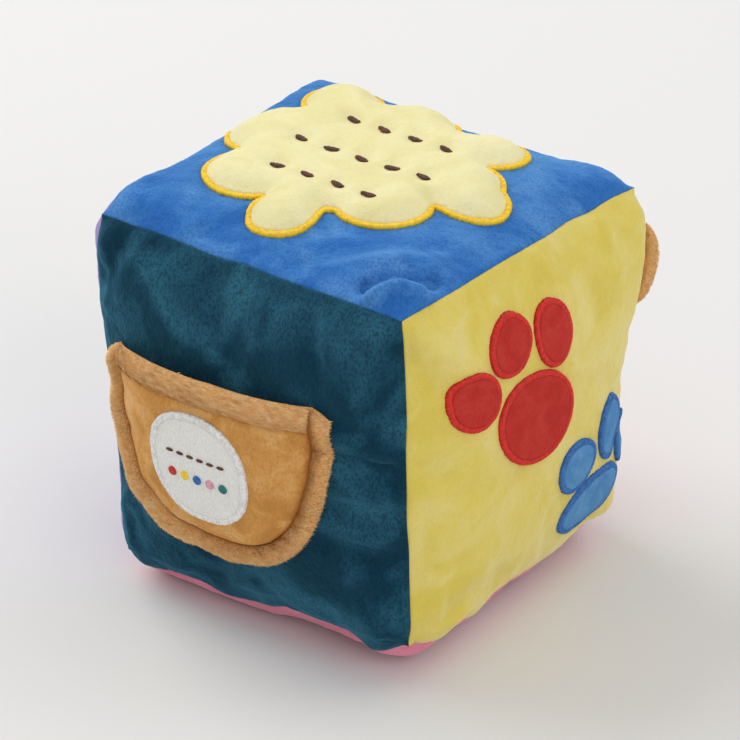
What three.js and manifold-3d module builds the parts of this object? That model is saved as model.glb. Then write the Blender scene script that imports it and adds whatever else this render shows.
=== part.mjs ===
// A baby's dice rattle: a stuffed plush cube, each face a panel of its own colour, with a padded
// biscuit on top, a pocket in front, two paw prints on the right and a tab in the back right seam.
// A plastic capsule with loose beads is held by the stuffing in the cube's middle.
// Millimetres, +Z up. The origin is the middle of the flat patch that the cube stands on.
// The pocket faces -Y, the paw prints face +X, the biscuit faces +Z.

import * as THREE from "three";
import { mergeVertices } from "three/addons/utils/BufferGeometryUtils.js";
import Module from "manifold-3d";

const wasm = await Module();
wasm.setup();

// The cube
const CUBE = 130; // seam to seam
const HALF = CUBE / 2;
const FLAT_CUT = 0.5; // how deep the bulging bottom is pressed flat
const GAP = 0.3; // free space between pieces that touch
const PLUSH = 1.6; // a panel's thickness
const ALLOWANCE = 7; // fabric turned inwards along each seam
const STUFFING_CLEARANCE = 1.2; // the stuffing bridges the creases of the panels
const SEAM_DRAW = 0.5; // how far the stuffing draws in the middle of each seam
const SEAM_DRAW_POWER = 4;
const ROLL_HEIGHT = 6; // the steep roll of the plush beside each seam
const ROLL_WIDTH = 9;
const DOME_POWER = 3.6; // a higher power gives a flatter dome with a rounder rim
const DOME = { top: 3, front: 6, right: 5, left: 6, back: 6, bottom: 4.5 };

// Each corner of the soft cube sits a little off the true corner
const CORNER_SHIFTS = [
  { corner: [-1, -1, 1], shift: [-2.5, -1.5, 2] },
  { corner: [1, -1, 1], shift: [-0.5, -2, -1] },
  { corner: [-1, 1, 1], shift: [-8, -2, 8] },
  { corner: [1, 1, 1], shift: [1.5, 2, 1] },
  { corner: [-1, -1, -1], shift: [2, -1, -2.5] },
  { corner: [1, -1, -1], shift: [0, 1, 1] },
  { corner: [-1, 1, -1], shift: [0, 0, 0] },
  { corner: [1, 1, -1], shift: [-2, -2.5, -0.5] },
];

// Where the stuffing pushes a seam out or lets it sink: a place on the unit cube, and how far
const SEAM_PUSHES = [
  { at: [1, 1, 0.7], shift: [2.4, 2.4, 0], reach: 0.4 },
  { at: [1, 1, 0.25], shift: [0.7, 0.7, 0], reach: 0.4 },
  { at: [-0.75, 1, 1], shift: [0, 0, 1.5], reach: 0.35 },
  { at: [0.25, 1, 1], shift: [0, 0, -0.8], reach: 0.4 },
  { at: [0.8, 1, 1], shift: [0, 0, -0.8], reach: 0.3 },
  { at: [-1, -0.75, 1], shift: [0, 0, 1.9], reach: 0.4 },
  { at: [-1, 0, 1], shift: [0, 0, 0.9], reach: 0.4 },
  { at: [-1, 0.6, 1], shift: [0, 0, 0.9], reach: 0.3 },
  { at: [-1, -1, 0.5], shift: [-1.4, 0, 0], reach: 0.4 },
];

// Creases pressed into a panel: where each runs, as shares of the face's half size
const CREASES = [
  { face: "top", from: [0.68, -0.94], to: [0.95, -0.66], depth: 3, width: 4 },
  { face: "front", from: [-0.95, 0.71], to: [-0.74, 0.92], depth: 2.5, width: 4 },
  { face: "front", from: [0.46, 0.03], to: [0.89, -0.03], depth: 0.8, width: 4 },
  { face: "front", from: [0.4, -0.37], to: [0.86, -0.43], depth: 0.8, width: 4 },
  { face: "right", from: [-0.92, 0.09], to: [-0.68, 0.03], depth: 0.8, width: 4 },
  { face: "right", from: [0, 0.95], to: [0.09, 0.8], depth: 1, width: 4 },
];

// Lines across a panel's half: shares of the roll beside the seam, then of the width inside it
const LINES = {
  fine: { roll: [0, 0.25, 0.6], inside: [1, 0.82, 0.5] },
  plain: { roll: [0, 0.35], inside: [1, 0.78, 0.45] },
};
const FINE_FACES = ["top", "front", "right"];

// The rattle capsule
const CAPSULE_RADIUS = 15;
const CAPSULE_WALL = 2.2;
const CAPSULE_FLOOR = 1.6;
const BEAD_RADIUS = 3;
const BEAD_TRAVEL = 6.4;
const BEAD_COUNT = 5; // beads in the ring round the middle one
const LIP_HEIGHT = 4; // overlap of the snap lid and the cup
const CAPSULE_CHAMBER = 2 * BEAD_RADIUS + BEAD_TRAVEL + 2 * GAP;
const CAPSULE_HEIGHT = CAPSULE_CHAMBER + 2 * CAPSULE_FLOOR;
const CAPSULE_STEPS = 24;

// Satin stitched borders
const BORDER_WIDTH = 2.4;
const BORDER_HEIGHT = 1.4;

// The padded biscuit, made of round lobes: their places and radii are shares of its reach
const BISCUIT_MARGIN = 6.5; // plush left free between the biscuit and the seams
const BISCUIT_REACH = HALF - BISCUIT_MARGIN;
const BISCUIT_EDGE = 2; // height at its border
const BISCUIT_PUFF = 4; // further height in the middle
const BISCUIT_STEPS = 72;
const BISCUIT_LOBES = [
  { x: -0.09, y: 0.11, radius: 0.74 },
  { x: -0.45, y: -0.42, radius: 0.32 },
  { x: -0.02, y: -0.72, radius: 0.22 },
  { x: 0.38, y: -0.32, radius: 0.29 },
  { x: 0.7, y: 0.06, radius: 0.24 },
  { x: 0.55, y: 0.17, radius: 0.27 },
  { x: 0.43, y: 0.63, radius: 0.25 },
  { x: -0.1, y: 0.73, radius: 0.25 },
  { x: -0.6, y: 0.67, radius: 0.26 },
  { x: -0.66, y: 0.1, radius: 0.34 },
];
const MARK_ROWS = [4, 5, 4]; // stitched marks in each row
const MARK_SPACING = [12.5, 22]; // within a row, and from row to row
const MARK_LENGTH = 5.5;
const MARK_WIDTH = 2.6;
const MARK_HEIGHT = 1;
const MARK_STEPS = 8;

// The pocket on the front
const POCKET_PLACE = [-7.5, 29.5]; // middle of the mouth, from the middle of the face
const POCKET_HALF_WIDTH = 50;
const POCKET_CORNER = 4; // how far the binding's upper outer corners are rounded down
const POCKET_DEPTH = 70.5;
const POCKET_SQUARENESS = 2.6; // 2 is a half oval, higher is squarer
const POCKET_SAG = 1.5; // how far the mouth hangs in its middle
const POCKET_PLUSH = 1.6;
const POCKET_BULGE = 6; // the mouth stands this far off the panel
const POCKET_SIDE = 0.3; // share of the front's round edge that counts as one side
const HEM_WIDTH = 9.5;
const HEM_HEIGHT = 2.8;
const HEM_ROUNDING = 0.45; // share of its height that its rounded section adds
const BINDING_WIDTH = 7;
const BINDING_HEIGHT = 3.4;
const BINDING_ROUNDING = 0.65;

// The label on the pocket
const LABEL_ASIDE = -1.3; // from the pocket's middle
const LABEL_LEVEL = 0.3; // share of the free height between hem and binding that is above it
const LABEL_RADIUS = 21;
const LABEL_THICKNESS = 0.8;
const LABEL_SQUARENESS = 2.3; // 2 is a circle, higher is squarer
const LABEL_STEPS = 28;

// The paw prints on the right: places are shares of the face's half size, radii of the cube's
const PAW_THICKNESS = 0.9;
const PAW_STEPS = 16;
const PAWS = {
  red: [
    { name: "pad", at: [-0.11, 0.115], radii: [0.36, 0.262], turn: -24 },
    { name: "toe_1", at: [-0.63, 0.42], radii: [0.203, 0.162], turn: -29 },
    { name: "toe_2", at: [-0.342, 0.629], radii: [0.186, 0.172], turn: 128 },
    { name: "toe_3", at: [0.032, 0.549], radii: [0.152, 0.208], turn: 21 },
  ],
  blue: [
    { name: "pad", at: [0.49, -0.65], radii: [0.315, 0.15], turn: 9 },
    { name: "toe_1", at: [0.31, -0.365], radii: [0.178, 0.15], turn: 12 },
    { name: "toe_2", at: [0.652, -0.271], radii: [0.132, 0.192], turn: -2 },
    { name: "toe_3", at: [0.87, -0.425], radii: [0.068, 0.155], turn: -12 },
  ],
};

// The half round tab in the back right seam
const TAB_HEIGHT = 32;
const TAB_REACH = 9.5;
const TAB_THICKNESS = 4.4;
const TAB_ROOT = 1; // from the seam to the tab's root
const TAB_ROOT_SLOPE = 0.55; // the tab thins towards its root
const TAB_ROUNDING = 0.55; // share of its thickness that its rounded middle adds
const TAB_ROUND_POWER = 0.35;
const TAB_LEVEL = 0.52; // its middle, as a share of the cube's half size above the middle

// Columns and rows of the square grids that the pocket and the tab are meshed with
const GRIDS = { front: [14, 8], hem: [14, 4], binding: [26, 4], tab: [8, 5] };

const PANEL_COLOURS = {
  top: "blue",
  front: "teal",
  right: "yellow",
  bottom: "pink",
  left: "lavender",
  back: "red",
};

const COLOURS = {
  blue: 0x3f7fc0,
  teal: 0x1b4a5e,
  yellow: 0xd9cb6c,
  pink: 0xe2a9b6,
  lavender: 0x9c8ac0,
  red: 0xb8352f,
  cream: 0xf0e6ae,
  gold: 0xe4bd2c,
  brown: 0x5a3520,
  tan: 0xb88a4e,
  white: 0xe8e8e4,
  pawRed: 0xba3a34,
  pawBlue: 0x4678ab,
  stuffing: 0xf2f0ea,
  plastic: 0xd8e2e6,
  bead: 0xe07a3c,
};

// Each face by its outward, rightward and upward directions, as seen from outside
const FACES = {
  top: { out: [0, 0, 1], right: [1, 0, 0], up: [0, 1, 0] },
  bottom: { out: [0, 0, -1], right: [1, 0, 0], up: [0, -1, 0] },
  front: { out: [0, -1, 0], right: [1, 0, 0], up: [0, 0, 1] },
  back: { out: [0, 1, 0], right: [-1, 0, 0], up: [0, 0, 1] },
  right: { out: [1, 0, 0], right: [0, 1, 0], up: [0, 0, 1] },
  left: { out: [-1, 0, 0], right: [0, -1, 0], up: [0, 0, 1] },
};

const CENTRE = new THREE.Vector3(0, 0, standingHeight());
const CAPSULE_BASE = CENTRE.z - CAPSULE_HEIGHT / 2;

const object = new THREE.Group();

function add(name, geometry, colour, roughness = 0.95) {
  const material = new THREE.MeshStandardMaterial({ color: COLOURS[colour], roughness, metalness: 0 });
  const mesh = new THREE.Mesh(geometry, material);
  mesh.name = name;
  object.add(mesh);
  return mesh;
}

// Collects points and faces of one closed surface
class Shell {
  constructor() {
    this.points = [];
    this.faces = [];
  }

  point(p) {
    this.points.push(p.x, p.y, p.z);
    return this.points.length / 3 - 1;
  }

  triangle(a, b, c) {
    this.faces.push(a, b, c);
  }

  quad(a, b, c, d) {
    this.triangle(a, b, c);
    this.triangle(a, c, d);
  }

  // A band of faces from one loop of points to the next
  band(upper, lower) {
    for (let k = 0; k < upper.length; k++) {
      const next = (k + 1) % upper.length;
      this.quad(upper[k], lower[k], lower[next], upper[next]);
    }
  }

  fan(centre, loop) {
    loop.forEach((p, k) => this.triangle(centre, p, loop[(k + 1) % loop.length]));
  }

  geometry() {
    const made = new THREE.BufferGeometry();
    made.setAttribute("position", new THREE.Float32BufferAttribute(this.points, 3));
    made.setIndex(this.faces);
    made.computeVertexNormals();
    return made;
  }
}

// The cube's own form

// A point of the unit cube moved to the soft cube's seams and planes
function softCube(q) {
  const moved = q.map((value) => value * HALF);
  for (const { corner, shift } of CORNER_SHIFTS) {
    const share = corner.reduce((product, sign, i) => (product * (1 + sign * q[i])) / 2, 1);
    shift.forEach((value, i) => (moved[i] += share * value));
  }
  for (const { at, shift, reach } of SEAM_PUSHES) {
    const distance = Math.hypot(...at.map((value, i) => value - q[i]));
    const share = Math.exp(-((distance / reach) ** 2));
    shift.forEach((value, i) => (moved[i] += share * value));
  }
  for (let i = 0; i < 3; i++) {
    const [a, b] = [Math.abs(q[(i + 1) % 3]), Math.abs(q[(i + 2) % 3])];
    const nearSeam = a ** SEAM_DRAW_POWER * (1 - b * b) + b ** SEAM_DRAW_POWER * (1 - a * a);
    moved[i] -= SEAM_DRAW * Math.sign(q[i]) * Math.abs(q[i]) ** SEAM_DRAW_POWER * nearSeam;
  }
  return moved;
}

// How high the cube's middle is when its bottom is pressed flat on the floor
function standingHeight() {
  const lowerPlane = -softCube([0, 0, -1])[2];
  return lowerPlane + ROLL_HEIGHT + DOME.bottom - FLAT_CUT;
}

function roll(t) {
  const inward = Math.min(1, ((1 - Math.abs(t)) * HALF) / ROLL_WIDTH);
  return 1 - (1 - inward) ** 2;
}

function dome(t) {
  return 1 - Math.abs(t) ** DOME_POWER;
}

function distanceToSegment(x, y, [ax, ay], [bx, by]) {
  const [dx, dy] = [bx - ax, by - ay];
  const along = ((x - ax) * dx + (y - ay) * dy) / (dx * dx + dy * dy);
  const t = Math.min(1, Math.max(0, along));
  return Math.hypot(x - ax - t * dx, y - ay - t * dy);
}

function creaseDepth(face, u, v) {
  let depth = 0;
  for (const crease of CREASES) {
    if (crease.face !== face) continue;
    const distance = HALF * distanceToSegment(u, v, crease.from, crease.to);
    depth += crease.depth * Math.exp(-((distance / crease.width) ** 2));
  }
  return depth * roll(u) * roll(v);
}

// The outside of the plush: u and v run from -1 to 1 across the face
function surface(face, u, v) {
  const { out, right, up } = FACES[face];
  const onCube = out.map((value, i) => value + u * right[i] + v * up[i]);
  const [x, y, z] = softCube(onCube);
  const crown = ROLL_HEIGHT * roll(u) * roll(v) + DOME[face] * dome(u) * dome(v);
  const height = crown - creaseDepth(face, u, v);
  const point = new THREE.Vector3(x, y, z).add(CENTRE).addScaledVector(new THREE.Vector3(...out), height);
  point.z = Math.max(0, point.z);
  return point;
}

function surfaceNormal(face, u, v) {
  const step = 0.004;
  const across = surface(face, Math.min(1, u + step), v).sub(surface(face, Math.max(-1, u - step), v));
  const along = surface(face, u, Math.min(1, v + step)).sub(surface(face, u, Math.max(-1, v - step)));
  return across.cross(along).normalize();
}

// A place on a face, in millimetres from its middle, lifted off the plush
function onFace(face, x, y, lift) {
  const [u, v] = [x / HALF, y / HALF];
  return surface(face, u, v).addScaledVector(surfaceNormal(face, u, v), lift);
}

function towardsMiddle(point, depth) {
  return point.sub(CENTRE).multiplyScalar(1 - depth / HALF).add(CENTRE);
}

// Panels

// Lines across a panel: close together in the roll beside a seam, wider in the middle
function panelLines(face) {
  const { roll: rollShares, inside } = LINES[FINE_FACES.includes(face) ? "fine" : "plain"];
  const rollInside = ROLL_WIDTH / HALF;
  const side = [
    ...rollShares.map((share) => 1 - share * rollInside),
    ...inside.map((share) => share * (1 - rollInside)),
  ];
  return [...side.map((place) => -place), 0, ...side.reverse()];
}

function gridOf(shell, lines, pointAt) {
  return lines.map((v) => lines.map((u) => shell.point(pointAt(u, v))));
}

function gridFaces(shell, grid, outward) {
  for (let j = 0; j + 1 < grid.length; j++) {
    for (let i = 0; i + 1 < grid[j].length; i++) {
      const corners = [grid[j][i], grid[j][i + 1], grid[j + 1][i + 1], grid[j + 1][i]];
      shell.quad(...(outward ? corners : corners.reverse()));
    }
  }
}

// The rim of a grid of points, anticlockwise
function rimOf(grid) {
  const last = grid.length - 1;
  const width = grid[0].length - 1;
  return [
    ...grid[0].slice(0, width),
    ...grid.slice(0, last).map((row) => row[width]),
    ...grid[last].slice(1).reverse(),
    ...grid.slice(1).map((row) => row[0]).reverse(),
  ];
}

// One panel: a crowned sheet whose edges turn inwards as seam allowances
function panelGeometry(face) {
  const shell = new Shell();
  const lines = panelLines(face);
  const { out, right, up } = FACES[face];
  const outerInset = 1 - GAP / 2 / HALF;
  const innerInset = outerInset - PLUSH / HALF;
  const outer = gridOf(shell, lines, (u, v) => surface(face, u * outerInset, v * outerInset));
  const inner = gridOf(shell, lines, (u, v) => {
    return towardsMiddle(surface(face, u * innerInset, v * innerInset), PLUSH);
  });
  const allowanceTip = (inset) => (u, v) => {
    const onCube = out.map((value, i) => value + inset * (u * right[i] + v * up[i]));
    return towardsMiddle(new THREE.Vector3(...softCube(onCube)).add(CENTRE), ALLOWANCE);
  };
  const rimPlaces = rimOf(lines.map((v) => lines.map((u) => [u, v])));
  const tipLoop = (inset) => rimPlaces.map(([u, v]) => shell.point(allowanceTip(inset)(u, v)));
  const loops = [rimOf(outer), tipLoop(outerInset), tipLoop(innerInset), rimOf(inner)];
  gridFaces(shell, outer, true);
  for (let k = 0; k + 1 < loops.length; k++) shell.band(loops[k], loops[k + 1]);
  gridFaces(shell, inner, false);
  return shell.geometry();
}

function addPanels() {
  for (const face of Object.keys(FACES)) add(`${face}_panel`, panelGeometry(face), PANEL_COLOURS[face]);
}

// Solids for cutting and joining

function solidOf(geometry) {
  const bare = geometry.clone();
  bare.deleteAttribute("normal");
  bare.deleteAttribute("uv");
  const merged = mergeVertices(bare);
  return new wasm.Manifold(
    new wasm.Mesh({
      numProp: 3,
      vertProperties: new Float32Array(merged.attributes.position.array),
      triVerts: new Uint32Array(merged.index.array),
    }),
  );
}

function geometryOf(solid) {
  const mesh = solid.getMesh();
  const made = new THREE.BufferGeometry();
  made.setAttribute("position", new THREE.Float32BufferAttribute(mesh.vertProperties, 3));
  made.setIndex(Array.from(mesh.triVerts));
  made.computeVertexNormals();
  return made;
}

// Stuffing

// The whole wad of stuffing, clear of the panels and of their seam allowances
function wadGeometry() {
  const shell = new Shell();
  const lines = [-1, -0.82, -0.55, -0.28, 0, 0.28, 0.55, 0.82, 1];
  const underPanel = 1 - (PLUSH + STUFFING_CLEARANCE) / HALF;
  const insideAllowance = 1 - (ALLOWANCE + PLUSH + GAP) / HALF;
  for (const face of Object.keys(FACES)) {
    const grid = gridOf(shell, lines, (u, v) => {
      const chamfer = (2 * insideAllowance) / (1 + Math.max(Math.abs(u), Math.abs(v)));
      const scale = Math.min(underPanel, chamfer);
      return surface(face, u, v).sub(CENTRE).multiplyScalar(scale).add(CENTRE);
    });
    gridFaces(shell, grid, true);
  }
  return shell.geometry();
}

function addStuffing() {
  const wad = solidOf(mergeVertices(wadGeometry(), GAP / 10));
  const hollow = new THREE.CylinderGeometry(
    CAPSULE_RADIUS + GAP,
    CAPSULE_RADIUS + GAP,
    CAPSULE_HEIGHT + 2 * GAP,
    CAPSULE_STEPS,
  );
  hollow.rotateX(Math.PI / 2).translate(CENTRE.x, CENTRE.y, CENTRE.z);
  const packed = wad.subtract(solidOf(hollow));
  for (const [name, side] of [["lower_stuffing", -1], ["upper_stuffing", 1]]) {
    const block = new THREE.BoxGeometry(2 * CUBE, 2 * CUBE, CUBE);
    block.translate(CENTRE.x, CENTRE.y, CENTRE.z + (side * (CUBE + GAP)) / 2);
    add(name, geometryOf(packed.intersect(solidOf(block))), "stuffing");
  }
}

// Rattle

function lathed(profile) {
  const made = new THREE.LatheGeometry(
    profile.map(([radius, height]) => new THREE.Vector2(radius, height)),
    CAPSULE_STEPS,
  );
  return made.rotateX(Math.PI / 2);
}

function addCapsule() {
  const inner = CAPSULE_RADIUS - CAPSULE_WALL;
  const lipOuter = inner + (CAPSULE_WALL - GAP) / 2;
  const shoulder = CAPSULE_HEIGHT / 2;
  const cup = lathed([
    [0, 0],
    [CAPSULE_RADIUS, 0],
    [CAPSULE_RADIUS, shoulder],
    [lipOuter, shoulder],
    [lipOuter, shoulder + LIP_HEIGHT],
    [inner, shoulder + LIP_HEIGHT],
    [inner, CAPSULE_FLOOR],
    [0, CAPSULE_FLOOR],
  ]);
  const ceiling = CAPSULE_HEIGHT - CAPSULE_FLOOR;
  const lid = lathed([
    [0, ceiling],
    [inner, ceiling],
    [inner, shoulder + LIP_HEIGHT + GAP],
    [lipOuter + GAP, shoulder + LIP_HEIGHT + GAP],
    [lipOuter + GAP, shoulder + GAP],
    [CAPSULE_RADIUS, shoulder + GAP],
    [CAPSULE_RADIUS, CAPSULE_HEIGHT],
    [0, CAPSULE_HEIGHT],
  ]);
  add("rattle_cup", cup, "plastic", 0.35).position.set(CENTRE.x, CENTRE.y, CAPSULE_BASE);
  add("rattle_lid", lid, "plastic", 0.35).position.set(CENTRE.x, CENTRE.y, CAPSULE_BASE);
}

function addBeads() {
  const ringRadius = CAPSULE_RADIUS - CAPSULE_WALL - BEAD_RADIUS - GAP;
  const level = CAPSULE_BASE + CAPSULE_FLOOR + GAP + BEAD_RADIUS;
  for (let k = 0; k <= BEAD_COUNT; k++) {
    const angle = (2 * Math.PI * k) / BEAD_COUNT;
    const radius = k < BEAD_COUNT ? ringRadius : 0;
    const bead = add(`bead_${k + 1}`, new THREE.SphereGeometry(BEAD_RADIUS, 10, 6), "bead", 0.3);
    bead.position.set(CENTRE.x + radius * Math.cos(angle), CENTRE.y + radius * Math.sin(angle), level);
  }
}

// Appliqués

// Points of an outline round its middle, anticlockwise
function outlineOf(steps, pointAt) {
  return Array.from({ length: steps }, (_, k) => pointAt((2 * Math.PI * k) / steps));
}

// The same outline moved inwards
function inset(outline, distance) {
  return outline.map(([x, y], k) => {
    const [fromX, fromY] = outline.at(k - 1);
    const [toX, toY] = outline[(k + 1) % outline.length];
    const length = Math.hypot(toX - fromX, toY - fromY);
    return [x - (distance * (toY - fromY)) / length, y + (distance * (toX - fromX)) / length];
  });
}

function oval([across, along], turn, steps) {
  const turned = THREE.MathUtils.degToRad(turn);
  return outlineOf(steps, (angle) => {
    const [x, y] = [across * Math.cos(angle), along * Math.sin(angle)];
    return [x * Math.cos(turned) - y * Math.sin(turned), x * Math.sin(turned) + y * Math.cos(turned)];
  });
}

// The point of a unit circle pressed towards a square, at an angle
function squaredCircle(angle, squareness) {
  const [c, s] = [Math.cos(angle), Math.sin(angle)];
  const power = Math.abs(c) ** squareness + Math.abs(s) ** squareness;
  return [c, s].map((value) => value / power ** (1 / squareness));
}

// A padded patch inside an outline; place sets it on its ground
function patchGeometry(outline, place, heightAt, rings) {
  const shell = new Shell();
  const pointAt = ([x, y], share, raised) => place(x * share, y * share, raised ? heightAt(share) : 0);
  const loopAt = (share, raised) => outline.map((point) => shell.point(pointAt(point, share, raised)));
  const shares = Array.from({ length: rings }, (_, k) => 1 - k / rings);
  const upper = shares.map((share) => loopAt(share, true));
  const lower = shares.filter((_, k) => k % 2 === 0).map((share) => loopAt(share, false));
  for (let k = 0; k + 1 < upper.length; k++) shell.band(upper[k + 1], upper[k]);
  for (let k = 0; k + 1 < lower.length; k++) shell.band(lower[k], lower[k + 1]);
  shell.band(upper[0], lower[0]);
  shell.fan(shell.point(pointAt([0, 0], 0, true)), upper.at(-1));
  shell.fan(shell.point(pointAt([0, 0], 0, false)), [...lower.at(-1)].reverse());
  return shell.geometry();
}

// A raised satin border along the inside of an outline
function borderGeometry(outline, place) {
  const shell = new Shell();
  const section = [
    { across: 0, lift: 0 },
    { across: 0.2, lift: 0.9 },
    { across: 0.8, lift: 0.9 },
    { across: 1, lift: 0 },
  ];
  const loops = section.map(({ across, lift }) =>
    inset(outline, across * BORDER_WIDTH).map(([x, y]) => shell.point(place(x, y, lift * BORDER_HEIGHT))),
  );
  loops.forEach((loop, k) => shell.band(loops[(k + 1) % loops.length], loop));
  return shell.geometry();
}

function placeOn(face, middle) {
  return (x, y, lift) => onFace(face, middle[0] + x, middle[1] + y, lift + GAP);
}

// Biscuit

// The outermost point of the lobes in each direction from the middle
function biscuitOutline() {
  return outlineOf(BISCUIT_STEPS, (angle) => {
    const direction = [Math.cos(angle), Math.sin(angle)];
    const reaches = BISCUIT_LOBES.map((lobe) => {
      const [x, y, radius] = [lobe.x, lobe.y, lobe.radius].map((share) => share * BISCUIT_REACH);
      const along = x * direction[0] + y * direction[1];
      const aside = x * direction[1] - y * direction[0];
      return Math.abs(aside) < radius ? along + Math.sqrt(radius * radius - aside * aside) : 0;
    });
    return direction.map((value) => value * Math.max(...reaches));
  });
}

// The middles of the stitched marks, row by row
function markPlaces() {
  return MARK_ROWS.flatMap((count, row) =>
    Array.from({ length: count }, (_, k) => [
      (k - (count - 1) / 2) * MARK_SPACING[0],
      (row - (MARK_ROWS.length - 1) / 2) * MARK_SPACING[1],
    ]),
  );
}

// Height of the padding at a share of the way from the middle to the outline
function biscuitHeight(share) {
  return BISCUIT_EDGE + BISCUIT_PUFF * (1 - share ** 4);
}

function addBiscuit() {
  const place = placeOn("top", [0, 0]);
  const outline = biscuitOutline();
  const body = inset(outline, BORDER_WIDTH + GAP);
  add("biscuit_patch", patchGeometry(body, place, biscuitHeight, 5), "cream");
  add("biscuit_border", borderGeometry(outline, place), "gold", 0.5);
  const stitches = oval([MARK_LENGTH / 2, MARK_WIDTH / 2], 0, MARK_STEPS);
  markPlaces().forEach(([markX, markY], k) => {
    const crown = biscuitHeight(Math.hypot(markX, markY) / BISCUIT_REACH) + GAP;
    const seat = (x, y, lift) => place(markX + x, markY + y, crown + lift);
    add(`biscuit_mark_${k + 1}`, patchGeometry(stitches, seat, () => MARK_HEIGHT, 1), "brown", 0.6);
  });
}

// Pocket

// How far the pocket's front stands off the panel
function pocketBulge(x, depth) {
  const across = Math.abs(x) / (POCKET_HALF_WIDTH - BINDING_WIDTH);
  const down = depth / (POCKET_DEPTH - BINDING_WIDTH);
  const reach = (across ** POCKET_SQUARENESS + down ** POCKET_SQUARENESS) ** (1 / POCKET_SQUARENESS);
  return POCKET_BULGE * Math.max(0, 1 - reach ** 3);
}

// The pocket's round edge, from its left end at angle 0 to its right end at pi
function pocketEdge(angle, inset) {
  const [across, down] = squaredCircle(angle, POCKET_SQUARENESS);
  return [-(POCKET_HALF_WIDTH - inset) * across, (POCKET_DEPTH - inset) * down];
}

// How far out that edge is at a share of the way down, from 0 to 1
function edgeAcross(down) {
  return (1 - down ** POCKET_SQUARENESS) ** (1 / POCKET_SQUARENESS);
}

// A place on the pocket: x from its middle, depth down from the mouth
function onPocket(x, depth, lift) {
  const sag = POCKET_SAG * (1 - (x / POCKET_HALF_WIDTH) ** 2) * (1 - depth / POCKET_DEPTH);
  return onFace("front", POCKET_PLACE[0] + x, POCKET_PLACE[1] - depth - sag, lift + GAP);
}

// A half oval filled by a square grid: s runs from -1 to 1 across, t from 0 to 1 outwards
function halfOval(s, t, halfWidth, depth) {
  return [halfWidth * s * Math.sqrt(1 - (t * t) / 2), depth * t * Math.sqrt(1 - (s * s) / 2)];
}

function evenly(from, to, count) {
  return Array.from({ length: count + 1 }, (_, k) => from + ((to - from) * k) / count);
}

// A place inside four edges, each given by a function of its share from left to right or upwards
function between({ bottom, top, left, right }, s, t) {
  return [0, 1].map((i) => {
    const upwards = (1 - t) * bottom(s)[i] + t * top(s)[i];
    const across = (1 - s) * left(t)[i] + s * right(t)[i];
    const lower = (1 - s) * bottom(0)[i] + s * bottom(1)[i];
    const upper = (1 - s) * top(0)[i] + s * top(1)[i];
    return upwards + across - (1 - t) * lower - t * upper;
  });
}

// A closed sheet between two surfaces, the outer one first, from one s to the other and up from t = 0
function sheetGeometry([from, to], [columns, rows], outer, inner) {
  const shell = new Shell();
  const grids = [outer, inner].map((pointAt) =>
    evenly(0, 1, rows).map((t) => evenly(from, to, columns).map((s) => shell.point(pointAt(s, t)))),
  );
  gridFaces(shell, grids[0], true);
  shell.band(rimOf(grids[0]), rimOf(grids[1]));
  gridFaces(shell, grids[1], false);
  return shell.geometry();
}

// Thickness of a rounded band at a share of its width
function padding(height, rounding, share) {
  return height * (1 - rounding + rounding * Math.sin(Math.PI * share));
}

function pocketFrontEdges() {
  const inset = BINDING_WIDTH + GAP;
  const top = HEM_WIDTH + GAP;
  const down = top / (POCKET_DEPTH - inset);
  const start = Math.atan2(down, edgeAcross(down));
  const span = Math.PI - 2 * start;
  const edge = (share) => pocketEdge(start + share * span, inset);
  return {
    bottom: (s) => edge(POCKET_SIDE + s * (1 - 2 * POCKET_SIDE)),
    top: (s) => [edge(0)[0] * (1 - 2 * s), top],
    left: (t) => edge(POCKET_SIDE * (1 - t)),
    right: (t) => edge(1 - POCKET_SIDE * (1 - t)),
  };
}

function addPocket() {
  const edges = pocketFrontEdges();
  const frontAt = (lift) => (s, t) => {
    const [x, depth] = between(edges, s, t);
    return onPocket(x, depth, pocketBulge(x, depth) + lift);
  };
  add("pocket_front", sheetGeometry([0, 1], GRIDS.front, frontAt(POCKET_PLUSH), frontAt(0)), "tan");

  const hemAt = (raised) => (s, t) => {
    const inset = BINDING_WIDTH + GAP;
    const depth = HEM_WIDTH * (1 - t);
    const x = s * (POCKET_HALF_WIDTH - inset) * edgeAcross(depth / (POCKET_DEPTH - inset));
    const pillow = raised ? padding(HEM_HEIGHT, HEM_ROUNDING, t) : 0;
    return onPocket(x, depth, pocketBulge(x, depth) + pillow);
  };
  add("pocket_hem", sheetGeometry([-1, 1], GRIDS.hem, hemAt(true), hemAt(false)), "tan");

  // The padded band round the pocket's sides and bottom
  const bindingAt = (raised) => (s, t) => {
    const [x, depth] = pocketEdge(Math.PI * s, BINDING_WIDTH * t);
    const corner = POCKET_CORNER * (1 - t) ** 2 * Math.max(0, 1 - depth / BINDING_WIDTH);
    return onPocket(x, depth + corner, raised ? padding(BINDING_HEIGHT, BINDING_ROUNDING, t) : 0);
  };
  add("pocket_binding", sheetGeometry([0, 1], GRIDS.binding, bindingAt(true), bindingAt(false)), "tan");
}

// Label

function labelOutline() {
  return outlineOf(LABEL_STEPS, (angle) => {
    return squaredCircle(angle, LABEL_SQUARENESS).map((value) => LABEL_RADIUS * value);
  });
}

function addLabel() {
  const freeHeight = POCKET_DEPTH - BINDING_WIDTH - HEM_WIDTH - 2 * LABEL_RADIUS;
  const middle = HEM_WIDTH + LABEL_LEVEL * freeHeight + LABEL_RADIUS;
  const place = (x, y, lift) => {
    const [across, depth] = [LABEL_ASIDE + x, middle - y];
    return onPocket(across, depth, pocketBulge(across, depth) + POCKET_PLUSH + GAP + lift);
  };
  const outline = labelOutline();
  const body = inset(outline, BORDER_WIDTH + GAP);
  add("pocket_label", patchGeometry(body, place, () => LABEL_THICKNESS, 3), "white", 0.7);
  add("label_border", borderGeometry(outline, place), "white", 0.5);
}

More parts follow.
